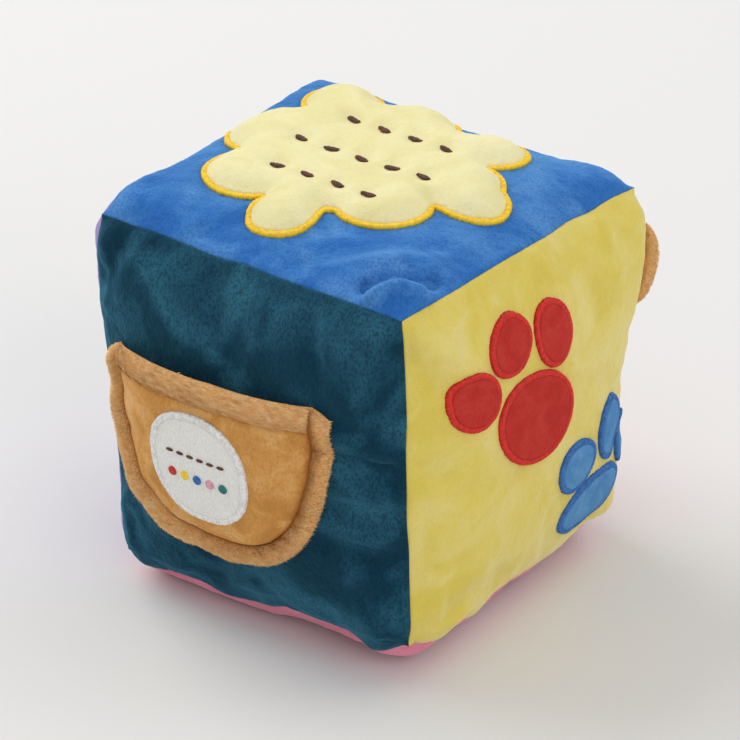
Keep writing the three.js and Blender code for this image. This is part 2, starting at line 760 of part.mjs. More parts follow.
// Paw prints

function addPaws() {
  for (const [colour, prints] of Object.entries(PAWS)) {
    const shade = colour === "red" ? "pawRed" : "pawBlue";
    for (const { name, at, radii, turn } of prints) {
      const place = placeOn("right", at.map((share) => share * HALF));
      const outline = oval(radii.map((share) => share * HALF), turn, PAW_STEPS);
      const body = inset(outline, BORDER_WIDTH + GAP);
      add(`${colour}_${name}`, patchGeometry(body, place, () => PAW_THICKNESS, 2), shade);
      add(`${colour}_${name}_border`, borderGeometry(outline, place), shade, 0.6);
    }
  }
}

// Tab

// Two padded layers that stand out of the back right seam along the cube's diagonal
function addTab() {
  const outward = new THREE.Vector3(1, 1, 0).normalize();
  const sideways = new THREE.Vector3(-1, 1, 0).normalize();
  const reach = TAB_REACH - TAB_ROOT;
  for (const [name, side] of [["tab_front_layer", -1], ["tab_back_layer", 1]]) {
    const layerAt = (outerFace) => (s, t) => {
      const [height, out] = halfOval(s, t, TAB_HEIGHT / 2, reach);
      const distance = TAB_ROOT + out;
      const rim = (1 - s * s) * (1 - t * t);
      const half = (TAB_THICKNESS / 2) * (1 - TAB_ROUNDING + TAB_ROUNDING * rim ** TAB_ROUND_POWER);
      const thickness = Math.min(half, GAP / 2 + TAB_ROOT_SLOPE * distance);
      const offset = side * (outerFace ? thickness : GAP / 2);
      const seam = new THREE.Vector3(...softCube([1, 1, TAB_LEVEL + height / HALF])).add(CENTRE);
      return seam.addScaledVector(outward, distance).addScaledVector(sideways, offset);
    };
    add(name, sheetGeometry([-side, side], GRIDS.tab, layerAt(true), layerAt(false)), "tan");
  }
}

addPanels();
addStuffing();
addCapsule();
addBeads();
addBiscuit();
addPocket();
addLabel();
addPaws();
addTab();

export default object;
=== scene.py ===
"""The looks of a stuffed plush dice rattle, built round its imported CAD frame.

Sizes are in millimetres, as in the part's own source, and become metres where a mesh is made.
The pocket faces -Y, the paw prints face +X and the biscuit faces +Z.
"""

import math
from functools import partial
from itertools import product

import bpy
import numpy as np
from mathutils import Matrix, Vector
from mathutils.geometry import delaunay_2d_cdt


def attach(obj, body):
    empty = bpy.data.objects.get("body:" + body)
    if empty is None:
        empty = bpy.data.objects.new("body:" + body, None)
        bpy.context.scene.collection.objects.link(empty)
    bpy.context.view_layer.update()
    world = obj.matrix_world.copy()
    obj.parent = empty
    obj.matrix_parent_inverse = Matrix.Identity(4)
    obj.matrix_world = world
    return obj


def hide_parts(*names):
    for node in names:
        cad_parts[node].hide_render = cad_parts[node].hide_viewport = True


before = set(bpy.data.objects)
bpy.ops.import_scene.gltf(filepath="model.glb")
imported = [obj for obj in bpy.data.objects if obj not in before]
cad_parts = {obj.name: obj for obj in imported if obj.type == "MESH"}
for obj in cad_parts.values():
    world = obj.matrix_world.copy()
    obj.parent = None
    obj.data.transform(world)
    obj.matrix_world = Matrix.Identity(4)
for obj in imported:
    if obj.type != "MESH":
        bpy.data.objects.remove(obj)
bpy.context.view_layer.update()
MM = 0.001

# The cube, as in the part's source
CUBE = 130
HALF = CUBE / 2
FLAT_CUT = 0.5
GAP = 0.3
PLUSH = 1.6
ALLOWANCE = 7
SEAM_DRAW = 0.5
SEAM_DRAW_POWER = 4
ROLL_HEIGHT = 6
ROLL_WIDTH = 9
DOME_POWER = 3.6
DOME = {"top": 3, "front": 6, "right": 5, "left": 6, "back": 6, "bottom": 4.5}
CORNER_SHIFTS = {
    (-1, -1, 1): (-2.5, -1.5, 2),
    (1, -1, 1): (-0.5, -2, -1),
    (-1, 1, 1): (-8, -2, 8),
    (1, 1, 1): (1.5, 2, 1),
    (-1, -1, -1): (2, -1, -2.5),
    (1, -1, -1): (0, 1, 1),
    (1, 1, -1): (-2, -2.5, -0.5),
}
# Where a seam is pushed aside: the place on the unit cube, the shift and its reach
SEAM_PUSHES = [
    ((1, 1, 0.7), (2.4, 2.4, 0), 0.4),
    ((1, 1, 0.25), (0.7, 0.7, 0), 0.4),
    ((-0.75, 1, 1), (0, 0, 1.5), 0.35),
    ((0.25, 1, 1), (0, 0, -0.8), 0.4),
    ((0.8, 1, 1), (0, 0, -0.8), 0.3),
    ((-1, -0.75, 1), (0, 0, 1.9), 0.4),
    ((-1, 0, 1), (0, 0, 0.9), 0.4),
    ((-1, 0.6, 1), (0, 0, 0.9), 0.3),
    ((-1, -1, 0.5), (-1.4, 0, 0), 0.4),
]
# Each face's directions outwards, to the right and upwards
FACES = {
    "top": ((0, 0, 1), (1, 0, 0), (0, 1, 0)),
    "bottom": ((0, 0, -1), (1, 0, 0), (0, -1, 0)),
    "front": ((0, -1, 0), (1, 0, 0), (0, 0, 1)),
    "back": ((0, 1, 0), (-1, 0, 0), (0, 0, 1)),
    "right": ((1, 0, 0), (0, 1, 0), (0, 0, 1)),
    "left": ((-1, 0, 0), (0, -1, 0), (0, 0, 1)),
}

# Creases and folds of each panel: from and to, from the face's middle, then height and width
FOLDS = {
    "top": [
        ((45, -60), (61, -43), -5.6, 2.6),
        ((50, -63), (62, -52), 2.9, 3.4),
        ((40, -52), (55, -35), 1.8, 4),
        ((20, -60), (32, -46), -1.5, 5),
        ((-20, -62), (-12, -50), -1.2, 5),
        ((62, -8), (50, 2), -1.2, 5),
    ],
    "front": [
        ((-60, 44), (-50, 58), -3, 4.5),
        ((38, 12), (62, 8), -2.8, 4),
        ((44, 0), (62, -2), 1.6, 4),
        ((40, -22), (60, -26), -2, 5),
        ((30, 60), (38, 40), -1.6, 5),
        ((-10, 62), (-6, 44), -1.4, 5),
        ((-60, -44), (-38, -18), 1.4, 5),
        ((-36, -60), (-20, -48), 1.4, 5),
    ],
    "right": [
        ((-62, 42), (-48, 34), -2, 5),
        ((-60, 54), (-50, 50), 2.2, 4),
        ((-62, 6), (-54, 3), -1.6, 5),
        ((-62, -56), (-40, -48), -1.6, 5),
        ((-36, 63), (-41, 50), -1.6, 5),
        ((-10, 63), (-9, 56), -1.4, 5),
        ((4, 62), (12, 48), 1.2, 5),
        ((16, 63), (30, 30), -1.6, 5),
        ((36, 62), (42, 44), 1.2, 5),
    ],
}
FOLDED_LIKE = {"back": "front", "left": "right"}

# Layers of noise, each with its height, its length and its seed
CRUMPLE = ((0.5, 26, 11), (0.25, 13, 12))
NAP = ((0.1, 1.2, 20), (0.12, 2.8, 21))  # the uneven tips of the pile
STUFFING_LUMPS = ((0.7, 9, 31), (0.3, 4, 32))

SEAM_FADE = 2.6  # folds flatten out this close to a seam
WOBBLE_LENGTH = 13  # the seams wander by this height over this length
WOBBLE_HEIGHT = 0.5
WOBBLE_SEEDS = (41, 42, 43)
SCALLOP_HEIGHT = 2.3  # and by this much more at the floor, below the given level
SCALLOP_LEVEL = 35
WOBBLE_FADE = 7
CORNER_PULL = 2.6  # the stuffing doesn't fill the corners
CORNER_REACH = 8
PANEL_STEPS = 280
PANEL_INNER_RINGS = 6
PANEL_INNERMOST = 0.05  # the last ring, as a share of the face
SEAM_SLIT = 0.02
NORMAL_STEP = 0.004  # normals are taken over this share of half a face

# The cover as one cloth, a little too large, blown up inside its pinned seams
COVER_STEPS = 44
COVER_FRAMES = 24
COVER_BLUR = 4
COVER_DECIMALS = 5  # seam points that agree this far are one point
COVER_CLOTH = {
    "quality": 6,
    "mass": 0.15,
    "tension_stiffness": 25,
    "compression_stiffness": 25,
    "tension_damping": 15,
    "compression_damping": 15,
    "shear_stiffness": 8,
    "bending_stiffness": 0.05,
    "shrink_min": -0.02,
    "use_pressure": True,
    "uniform_pressure_force": 6,
}
COVER_HEIGHTS = {"top": 0.8, "front": 1.1, "right": 0.9, "left": 1.1, "back": 1.1, "bottom": 0.3}

# Satin stitched borders
BORDER_WIDTH = 2.4
BORDER_HEIGHT = 1.15
THREAD_PITCH = 0.5
THREAD_SAMPLES = 4
BORDER_COLUMNS = 12
BORDER_RAGGED = 0.08  # how unevenly the threads end
BORDER_FLATNESS = 4  # a higher power gives a flatter arch
THREAD_SHADE = (0.84, 0.2)  # a thread's share of the height, and what its ridge adds
BORDER_TUCK = 0.3  # a patch reaches this far under its border
OUTLINE_STEPS = 240

# The biscuit
BISCUIT_REACH = HALF - 6.5
BISCUIT_LOBES = [
    (-0.09, 0.11, 0.74),
    (-0.45, -0.42, 0.32),
    (-0.02, -0.72, 0.22),
    (0.38, -0.32, 0.29),
    (0.7, 0.06, 0.24),
    (0.55, 0.17, 0.27),
    (0.43, 0.63, 0.25),
    (-0.1, 0.73, 0.25),
    (-0.6, 0.67, 0.26),
    (-0.66, 0.1, 0.34),
]
BISCUIT_EDGE = 1
BISCUIT_PUFF = 5.2
BISCUIT_SLOPE = 12
BISCUIT_POWER = 2.2
BISCUIT_STEPS = 720
BISCUIT_SPACING = 0.75
MARK_ROWS = (4, 5, 4)
MARK_SPACING = (12.5, 22)
MARK_LENGTH = 5.5
MARK_WIDTH = 2.6
MARK_THREADS = 9
MARK_STATIONS = 9
MARK_CORNERS = 6
MARK_SEED = 50
MARK_TURN = 0.3  # how far a mark turns by chance
MARK_RAGGED = 0.15
MARK_LIFT = (0.3, 0.6)  # off the biscuit at its ends, and so much more in its middle
MARK_SWELL = (0.3, 0.7)  # a thread's thickness at its ends, and what its middle adds
MARK_OVERLAP = 1.1  # threads are this much wider than their pitch
DIMPLE_DEPTH = 2.4
DIMPLE_RADIUS = 5

# The pocket
POCKET_PLACE = (-7.5, 29.5)
POCKET_HALF_WIDTH = 50
POCKET_CORNER = 4
POCKET_DEPTH = 70.5
POCKET_SQUARENESS = 2.6
POCKET_SAG = 1.5
POCKET_SLUMP = (4.5, 3)  # how far its left corner has slumped inwards and down
POCKET_SLUMP_REACH = 13
POCKET_PLUSH = 1.6
POCKET_BULGE = 6
POCKET_SIDE = 0.3
POCKET_EDGE_DIP = 1.1  # how far the stitching draws the front's edge down
POCKET_EDGE_SLOPE = 1.5
HEM_WIDTH = 9.5
HEM_HEIGHT = 3.2
HEM_ROUNDING = 0.85
BINDING_WIDTH = 7
BINDING_HEIGHT = 4
BINDING_ROUNDING = 0.92
BINDING_TAPER = 0.03  # its ends thin out over this share of its length
BINDING_END = 0.05
PADDING_POWER = 0.6  # a lower power gives a fuller round section

# The label
LABEL_ASIDE = -1.3
LABEL_LEVEL = 0.3
LABEL_RADIUS = 21
LABEL_THICKNESS = 0.8
LABEL_SQUARENESS = 2.3
LABEL_BORDER_HEIGHT = 1.3
# Rows of small ovals on the label: their threads, radii, spacing, level and slot
LABEL_ROWS = {
    "dot": (
        ("red_satin", "gold_satin", "blue_satin", "pink_satin", "teal_satin"),
        (1.7, 1.7),
        5.6,
        -4,
        "white_satin",
    ),
    "dash": (("brown_thread",) * 6, (1.5, 0.55), 4.5, 4.5, "brown_thread"),
}
SPOT_STEPS = 24
SPOT_SPACING = 0.4
STITCH_HEIGHT = 0.45

# The paw prints: places are shares of the face's half size, radii of the cube's, turns in degrees
PAW_THICKNESS = 0.9
PAW_CROWN = (1.4, 0.4)
PAW_NAP = 0.5
PAW_SPACING = 0.8
PAWS = {
    "red": {
        "pad": ((-0.11, 0.115), (0.36, 0.262), -24),
        "toe_1": ((-0.63, 0.42), (0.203, 0.162), -29),
        "toe_2": ((-0.342, 0.629), (0.186, 0.172), 128),
        "toe_3": ((0.032, 0.549), (0.152, 0.208), 21),
    },
    "blue": {
        "pad": ((0.49, -0.65), (0.315, 0.15), 9),
        "toe_1": ((0.31, -0.365), (0.178, 0.15), 12),
        "toe_2": ((0.652, -0.271), (0.132, 0.192), -2),
        "toe_3": ((0.87, -0.425), (0.068, 0.155), -12),
    },
}

# The tab
TAB_HEIGHT = 31
TAB_REACH = 7.5
TAB_THICKNESS = 4.4
TAB_ROOT = 1
TAB_ROOT_SLOPE = 0.55
TAB_ROUNDING = 0.55
TAB_ROUND_POWER = 0.35
TAB_LEVEL = 0.52
TAB_CLEARANCE = 20

# Looks of the plush: the usual colour, the lit one for painted highlight and the sheen, the deep one for
# painted shade, and what differs from plain pile
PLUSHES = {
    "blue_plush": {"colours": ("#306fb8", "#7ab6e8", "#1c54a4"), "nap_light_and_shade": 0.35, "depth": 0.48},
    "teal_plush": {
        "colours": ("#0f384c", "#4a90aa", "#082532"),
        "nap_light_and_shade": 0.35,
        "depth": 0.55,
        "patch": 32,
    },
    "yellow_plush": {"colours": ("#dfca5c", "#fbf3c8", "#cbb548"), "nap_light_and_shade": 0.2, "depth": 0.15},
    "pink_plush": {"colours": ("#e5879d", "#f2b0c0", "#cf6c84")},
    "lavender_plush": {"colours": ("#9c8ac0", "#b9abd6", "#8270aa")},
    "red_plush": {"colours": ("#b8352f", "#d2605a", "#982620")},
    "cream_plush": {"colours": ("#f0e7ae", "#fbf6d2", "#dccf88"), "sheen": 0.3, "depth": 0.2},
    "tan_plush": {"colours": ("#dba158", "#efc68e", "#b27534"), "sheen": 0.4, "patch": 15, "nap_light_and_shade": 0.5},
    "red_felt": {"colours": ("#bf342d", "#cf5048", "#a12723"), "sheen": 0.15, "patch": 9, "depth": 0.3},
    "blue_felt": {"colours": ("#5189bd", "#84b4dc", "#3c709f"), "sheen": 0.3, "patch": 9, "depth": 0.3},
}
# Satin threads: the usual colour, a lit one for painted glints and a deep one for painted shade
SATINS = {
    "gold_satin": ("#ffd41e", "#ffec78", "#ecb614"),
    "brown_thread": ("#5e3824", "#80543a", "#3c2014"),
    "white_satin": ("#f4f4f2", "#ffffff", "#d9d9d6"),
    "red_satin": ("#d8241c", "#e84a3c", "#b81c16"),
    "blue_satin": ("#3270b8", "#5590cc", "#235496"),
    "pink_satin": ("#e6a4b4", "#f4c8d2", "#cc8494"),
    "teal_satin": ("#2a7a72", "#4a9a92", "#1c5a54"),
}
PANEL_SLOTS = {
    "top": "blue_plush",
    "front": "teal_plush",
    "right": "yellow_plush",
    "bottom": "pink_plush",
    "left": "lavender_plush",
    "back": "red_plush",
}

# The camera, in degrees and metres, as the photograph was taken
CAMERA = {
    "azimuth": 37.43,
    "elevation": 26.92,
    "distance": 0.96865,
    "roll": -0.63,
    "shift": (-0.00025, -0.00034),
}
LENS = 131.35
SENSOR = 36

# The studio
ROOM_COLOUR = "#f4f5f7"
ROOM_STRENGTH = 0.56
BACKDROP_COLOUR = "#ededeb"
FLOOR_REACH = 3000


# Meshes


def unit(vectors):
    """The same vectors with length 1."""
    return vectors / np.maximum(np.linalg.norm(vectors, axis=-1, keepdims=True), 1e-9)


def linked(name, data):
    """A new object in the scene."""
    made = bpy.data.objects.new(name, data)
    bpy.context.scene.collection.objects.link(made)
    return made


def new_object(name, points, faces, material=None):
    """A smooth mesh object from points in millimetres and lists of face corners."""
    mesh = bpy.data.meshes.new(name)
    mesh.from_pydata((np.reshape(points, (-1, 3)) * MM).tolist(), [], faces)
    mesh.shade_smooth()
    if material:
        mesh.materials.append(MATERIALS[material])
    return linked(name, mesh)


def grid_faces(rows, columns, first=0, wrap=False, flip=False):
    """Quads of a grid of points numbered row by row; wrap joins the last column to the first."""
    j, i = np.mgrid[0 : rows - 1, 0 : columns if wrap else columns - 1]
    here = first + j * columns + i
    beside = first + j * columns + (i + 1) % columns
    quads = np.stack([here, beside, beside + columns, here + columns], -1).reshape(-1, 4)
    return (quads[:, ::-1] if flip else quads).tolist()


def band_faces(upper, lower):
    """Quads from one closed loop of point numbers to the next."""
    return np.stack([upper, lower, np.roll(lower, -1), np.roll(upper, -1)], -1).tolist()


def rim_of(rows, columns, first=0):
    """Numbers of a grid's outer points, anticlockwise."""
    number = first + np.arange(rows * columns).reshape(rows, columns)
    return np.concatenate([number[0, :-1], number[:-1, -1], number[-1, :0:-1], number[:0:-1, 0]])


def closed_sheet(name, surface, steps, span=(0, 1)):
    """Tan plush between a surface's outside and inside, with shares s across and t upwards."""
    columns, rows = steps
    s, t = np.meshgrid(np.linspace(*span, columns), np.linspace(0, 1, rows))
    points = np.concatenate([surface(outside, s, t).reshape(-1, 3) for outside in (True, False)])
    count = rows * columns
    faces = grid_faces(rows, columns)
    faces += band_faces(rim_of(rows, columns), rim_of(rows, columns, count))
    faces += grid_faces(rows, columns, count, flip=True)
    return new_object(name, points, faces, "tan_plush")


def tangents(surface, s, t, step=1e-3, ends=(-math.inf, math.inf)):
    """Short steps across and along a surface, a function of s and t between two ends."""
    left, right, below, above = np.clip([s - step, s + step, t - step, t + step], *ends)
    return surface(right, t) - surface(left, t), surface(s, above) - surface(s, below)


# Noise and smoothing

NOISE_CELLS = 32


def noise(points, seed):
    """Smooth noise from -1 to 1, with one bump about every unit of the points."""
    table = np.random.default_rng(seed).random((NOISE_CELLS,) * 3) * 2 - 1
    cell = np.floor(points).astype(int)
    share = points - cell
    share = share * share * (3 - 2 * share)
    total = 0
    for corner in product((0, 1), repeat=3):
        place = (cell + corner) % NOISE_CELLS
        weight = np.prod(np.where(corner, share, 1 - share), axis=-1)
        total = total + weight * table[place[..., 0], place[..., 1], place[..., 2]]
    return total


def bumps(points, layers):
    return sum(height * noise(points / length, seed) for height, length, seed in layers)


def blurred(grid, reach):
    """The same square grid of values, smoothed over about reach cells."""
    width = 3 * reach
    weights = np.exp(-((np.arange(-width, width + 1) / reach) ** 2) / 2)
    weights /= weights.sum()
    for axis, pads in ((0, [(width, width), (0, 0)]), (1, [(0, 0), (width, width)])):
        wide = np.pad(grid, pads, mode="reflect", reflect_type="odd")
        grid = np.apply_along_axis(np.convolve, axis, wide, weights, "valid")
    return grid


def read_grid(grid, x, y):
    """A square grid of values, read as a cubic B-spline at x and y from -1 to 1."""
    last = len(grid) - 1
    at = np.clip((np.stack([x, y]) + 1) / 2 * last, 0, last)
    cell = np.minimum(np.floor(at), last - 1).astype(int)
    t = at - cell
    shares = [(1 - t) ** 3, 3 * t**3 - 6 * t**2 + 4, -3 * t**3 + 3 * t**2 + 3 * t + 1, t**3]
    total = 0
    for i, j in product(range(4), repeat=2):
        column, row = np.clip(cell[0] + i - 1, 0, last), np.clip(cell[1] + j - 1, 0, last)
        total = total + shares[i][0] * shares[j][1] * grid[row, column] / 36
    return total


# The cube's form


def soft_cube(q):
    """Points of the unit cube moved to the soft cube's seams and planes."""
    moved = q * float(HALF)
    for corner, shift in CORNER_SHIFTS.items():
        share = np.prod((1 + np.array(corner) * q) / 2, axis=-1)
        moved = moved + share[..., None] * np.array(shift)
    for at, shift, reach in SEAM_PUSHES:
        share = np.exp(-((q - np.array(at)) ** 2).sum(-1) / reach**2)
        moved = moved + share[..., None] * np.array(shift)
    size = np.abs(q)
    for i in range(3):
        a, b = size[..., (i + 1) % 3], size[..., (i + 2) % 3]
        near_seam = a**SEAM_DRAW_POWER * (1 - b * b) + b**SEAM_DRAW_POWER * (1 - a * a)
        moved[..., i] -= SEAM_DRAW * np.sign(q[..., i]) * size[..., i] ** SEAM_DRAW_POWER * near_seam
    return moved


def standing_height():
    """How high the cube's middle is when its bottom is pressed flat on the floor."""
    lower_plane = -soft_cube(np.array([0.0, 0.0, -1.0]))[2]
    return lower_plane + ROLL_HEIGHT + DOME["bottom"] - FLAT_CUT


CENTRE = np.array([0, 0, standing_height()])


def roll(t):
    inward = np.clip((1 - np.abs(t)) * HALF / ROLL_WIDTH, 0, 1)
    return 1 - (1 - inward) ** 2


def dome(t):
    return 1 - np.minimum(np.abs(t), 1) ** DOME_POWER


def on_cube(face, u, v):
    out, right, up = np.array(FACES[face], float)
    return out + u[..., None] * right + v[..., None] * up


def smooth_surface(face, u, v):
    """The outside of the plush without its folds: u and v run from -1 to 1 across the face."""
    crown = ROLL_HEIGHT * roll(u) * roll(v) + DOME[face] * dome(u) * dome(v)
    return soft_cube(on_cube(face, u, v)) + CENTRE + crown[..., None] * np.array(FACES[face][0])


def surface_normals(face, u, v):
    """Outward normals of the plush without its folds."""
    return unit(np.cross(*tangents(partial(smooth_surface, face), u, v, NORMAL_STEP, (-1, 1))))


def cover_folds():
    """Each face's folds from a simulation of the whole cover, without its broad swell."""
    lines = np.linspace(-1, 1, COVER_STEPS + 1)
    u, v = np.meshgrid(lines, lines)
    corners = np.stack([on_cube(face, u, v) for face in FACES]) + 0.0  # turns -0 into 0
    points = np.stack([smooth_surface(face, u, v) for face in FACES]).reshape(-1, 3)
    corners = np.round(corners.reshape(-1, 3), COVER_DECIMALS)
    _, first, number = np.unique(corners, axis=0, return_index=True, return_inverse=True)
    number = number.reshape(len(FACES), *u.shape)
    quads = grid_faces(COVER_STEPS + 1, COVER_STEPS + 1)
    faces = number.reshape(len(FACES), -1)[:, quads].reshape(-1, 4).tolist()
    cloth = new_object("cover_cloth", points[first], faces)
    still = np.concatenate([number[:, [0, -1]].ravel(), number[:, :, [0, -1]].ravel()])
    still = np.union1d(still, number[list(FACES).index("bottom")])
    pins = cloth.vertex_groups.new(name="pins")
    pins.add(still.tolist(), 1, "REPLACE")
    cover = cloth.modifiers.new("Cloth", "CLOTH")
    for key, value in COVER_CLOTH.items():
        setattr(cover.settings, key, value)
    cover.settings.vertex_group_mass = pins.name
    cover.settings.effector_weights.gravity = 0
    cover.collision_settings.use_collision = False
    scene = bpy.context.scene
    for number_of_frame in range(1, COVER_FRAMES + 1):
        scene.frame_set(number_of_frame)
    shape = cloth.evaluated_get(bpy.context.evaluated_depsgraph_get()).to_mesh()
    places = np.array([vertex.co for vertex in shape.vertices]) / MM
    moved = places - points[first]
    bpy.data.objects.remove(cloth)
    scene.frame_set(1)
    heights = {}
    for face, grid in zip(FACES, number):
        height = (moved[grid] * surface_normals(face, u, v)).sum(-1)
        heights[face] = COVER_HEIGHTS[face] * (height - blurred(height, COVER_BLUR))
    return heights


COVER_FOLDS = cover_folds()


def distance_to_segment(x, y, start, end):
    run = np.array(end) - np.array(start)
    t = np.clip(((x - start[0]) * run[0] + (y - start[1]) * run[1]) / (run @ run), 0, 1)
    return np.hypot(x - start[0] - t * run[0], y - start[1] - t * run[1])


def folds(face, x, y):
    height = 0 * x
    for start, end, crest, width in FOLDS.get(FOLDED_LIKE.get(face, face), []):
        distance = distance_to_segment(x, y, start, end)
        height = height + crest * np.exp(-((distance / width) ** 2))
    return height


def from_seam(x, y):
    """Distance inwards from the nearest seam of a face."""
    return np.maximum(0, HALF - np.maximum(np.abs(x), np.abs(y)))


def from_tab(points):
    """0 beside the tab's seat and 1 far from it: the tab folds over against plain plush."""
    corner_edge = soft_cube(np.array([1.0, 1.0, TAB_LEVEL])) + CENTRE
    return 1 - np.exp(-((np.linalg.norm(points - corner_edge, axis=-1) / TAB_CLEARANCE) ** 2))


def relief(face, x, y, points):
    """How far folds and crumpling lift the plush."""
    height = folds(face, x, y) + read_grid(COVER_FOLDS[face], x / HALF, y / HALF) + bumps(points, CRUMPLE)
    share = np.clip(from_seam(x, y) / SEAM_FADE, 0, 1)
    return height * share * share * (3 - 2 * share) * from_tab(points)


def wobble(points, x, y):
    """How the seams wander: the same for both panels at a seam, and fading out across them."""
    near = np.exp(-((from_seam(x, y) / WOBBLE_FADE) ** 2))
    shift = np.stack([noise(points / WOBBLE_LENGTH, seed) for seed in WOBBLE_SEEDS], -1)
    from_corner = np.hypot(HALF - np.abs(x), HALF - np.abs(y))
    pull = CORNER_PULL * np.exp(-((from_corner / CORNER_REACH) ** 2))
    low = np.clip(1 - points[..., 2] / SCALLOP_LEVEL, 0, 1)
    wander = (WOBBLE_HEIGHT + SCALLOP_HEIGHT * low) * near * from_tab(points)
    return shift * wander[..., None] - pull[..., None] * unit(points - CENTRE)


def ground(face, x, y, lift=0.0):
    """A place on a face, in millimetres from its middle, lifted off the plush."""
    x, y = np.asarray(x, float), np.asarray(y, float)
    u, v = x / HALF, y / HALF
    points = smooth_surface(face, u, v)
    height = relief(face, x, y, points) + lift
    return points + surface_normals(face, u, v) * height[..., None] + wobble(points, x, y)


# Shaders

MIX_COLOURS = (6, 7)  # a mix node's colour inputs and output, by number
MIX_RESULT = 2


def linear(hex_colour):
    """A colour written as #rrggbb, as the linear RGBA that Blender takes."""
    values = [int(hex_colour[i : i + 2], 16) / 255 for i in (1, 3, 5)]
    return [v / 12.92 if v <= 0.04045 else ((v + 0.055) / 1.055) ** 2.4 for v in values] + [1]


def fed(tree, kind, inputs, **settings):
    """A new node of a tree; each input takes another node's output or a plain value."""
    node = tree.nodes.new(f"ShaderNode{kind}")
    for name, value in settings.items():
        setattr(node, name, value)
    for name, value in inputs.items():
        if isinstance(value, bpy.types.NodeSocket):
            tree.links.new(value, node.inputs[name])
        else:
            node.inputs[name].default_value = value
    return node


class Shader:
    """A material with one Principled shader, and short calls for the nodes that feed it."""

    def __init__(
        self, name, roughness, specular=0.3, sheen=0.0, sheen_roughness=0.4, sheen_tint="#ffffff"
    ):
        self.material = bpy.data.materials.new(name)
        self.material.use_nodes = True
        self.tree = self.material.node_tree
        self.inputs = self.tree.nodes["Principled BSDF"].inputs
        self.place = fed(self.tree, "TexCoord", {}).outputs["Object"]
        looks = {
            "Roughness": roughness,
            "Specular IOR Level": specular,
            "Sheen Weight": sheen,
            "Sheen Roughness": sheen_roughness,
            "Sheen Tint": linear(sheen_tint),
        }
        for key, value in looks.items():
            self.inputs[key].default_value = value

    def finished(self, colour, normal=None):
        """The material, with its colour and its surface fed."""
        self.tree.links.new(colour, self.inputs["Base Color"])
        if normal:
            self.tree.links.new(normal, self.inputs["Normal"])
        return self.material

    def stretched(self, scales):
        """The place on the object, scaled along each axis."""
        return fed(self.tree, "Mapping", {"Vector": self.place, "Scale": scales}).outputs["Vector"]

    def noise(self, size, detail=2.0, place=None, distortion=0.0):
        """Noise with bumps of about size millimetres."""
        shape = {"Scale": 1 / (size * MM), "Detail": detail, "Distortion": distortion}
        return fed(self.tree, "TexNoise", {"Vector": place or self.place, **shape}).outputs["Fac"]

    def spread(self, value, low, high, to_low=0.0, to_high=1.0):
        """value from low to high, mapped onto another range."""
        ends = {"From Min": low, "From Max": high, "To Min": to_low, "To Max": to_high}
        return fed(self.tree, "MapRange", {"Value": value, **ends}).outputs["Result"]

    def mix(self, share, *colours):
        """From one colour to another, each written as #rrggbb or another node's output."""
        inputs = {"Factor": share}
        for socket, colour in zip(MIX_COLOURS, colours):
            inputs[socket] = linear(colour) if isinstance(colour, str) else colour
        return fed(self.tree, "Mix", inputs, data_type="RGBA").outputs[MIX_RESULT]

    def bump(self, height, distance, strength=1.0, under=None):
        inputs = {"Height": height, "Distance": distance * MM, "Strength": strength}
        if under:
            inputs["Normal"] = under
        return fed(self.tree, "Bump", inputs).outputs["Normal"]


def plush(name, colours, sheen=0.9, patch=22, nap_light_and_shade=0.3, depth=0.35, grain=0.8):
    """Short pile: patches of painted nap highlight and painted nap shade, a fine grain with painted shade
    in its pits, and a pale sheen at grazing angles.
    """
    base, lit, deep = colours
    made = Shader(name, 0.95, specular=0.1, sheen=sheen, sheen_roughness=0.45, sheen_tint=lit)
    patches = made.noise(patch, detail=3, distortion=0.8)
    fine = made.noise(grain, place=made.stretched((1, 1, 0.6)), detail=1.5, distortion=0.5)
    # Painted nap highlight and painted nap shade: patches turn towards the lit colour or towards the deep
    # one
    colour = made.mix(made.spread(patches, 0.46, 0.68, 0, nap_light_and_shade), base, lit)
    colour = made.mix(made.spread(patches, 0.5, 0.32, 0, nap_light_and_shade), colour, deep)
    # Painted shade in the pile's pits: where the grain's bump sinks, the colour turns deep; depth sets both
    colour = made.mix(made.spread(fine, 0.36, 0.56, depth, 0), colour, deep)
    tips = made.bump(made.noise(grain / 2, detail=1), 0.2, 0.7)
    return made.finished(colour, made.bump(fine, 0.35, depth + 0.25, under=tips))


def satin(name, colours):
    """Embroidery thread: smooth, with a soft shine, and painted shade and painted glints in its colour."""
    base, lit, deep = colours
    made = Shader(name, roughness=0.5)
    shade = made.noise(1.3, detail=2)
    # Painted shade: patches turn towards the deep colour
    colour = made.mix(made.spread(shade, 0.35, 0.6), deep, base)
    # Painted glints: small specks turn towards the lit colour
    colour = made.mix(made.spread(made.noise(0.4), 0.5, 0.7, 0, 0.6), colour, lit)
    return made.finished(colour, made.bump(made.noise(0.25), 0.1, 0.5))


def fibre(name, colours):
    """Single fibres of a longer pile, with painted highlight on some and painted shade on others."""
    base, lit, deep = colours
    made = Shader(name, roughness=0.8, specular=0.1)
    strands = made.noise(1.2, place=made.stretched((0.3, 1, 1)))
    # Painted shade and painted highlight: strands run from the deep colour to the lit one
    colour = made.mix(made.spread(strands, 0.25, 0.6), deep, lit)
    return made.finished(made.mix(made.spread(made.noise(5), 0.3, 0.7, 0.2, 0.8), colour, base))


def woven(name, colours):
    """A smooth, tightly woven label cloth, with painted shade in the hollows of its weave."""
    base, lit, deep = colours
    made = Shader(name, roughness=0.75, specular=0.25, sheen=0.15, sheen_tint=lit)
    threads = made.noise(0.45, place=made.stretched((1, 1, 0.35)), detail=1)
    # Painted shade: where the weave's bump sinks, the colour turns towards the deep one
    colour = made.mix(made.spread(threads, 0.35, 0.65), deep, base)
    return made.finished(colour, made.bump(threads, 0.12, 0.6))


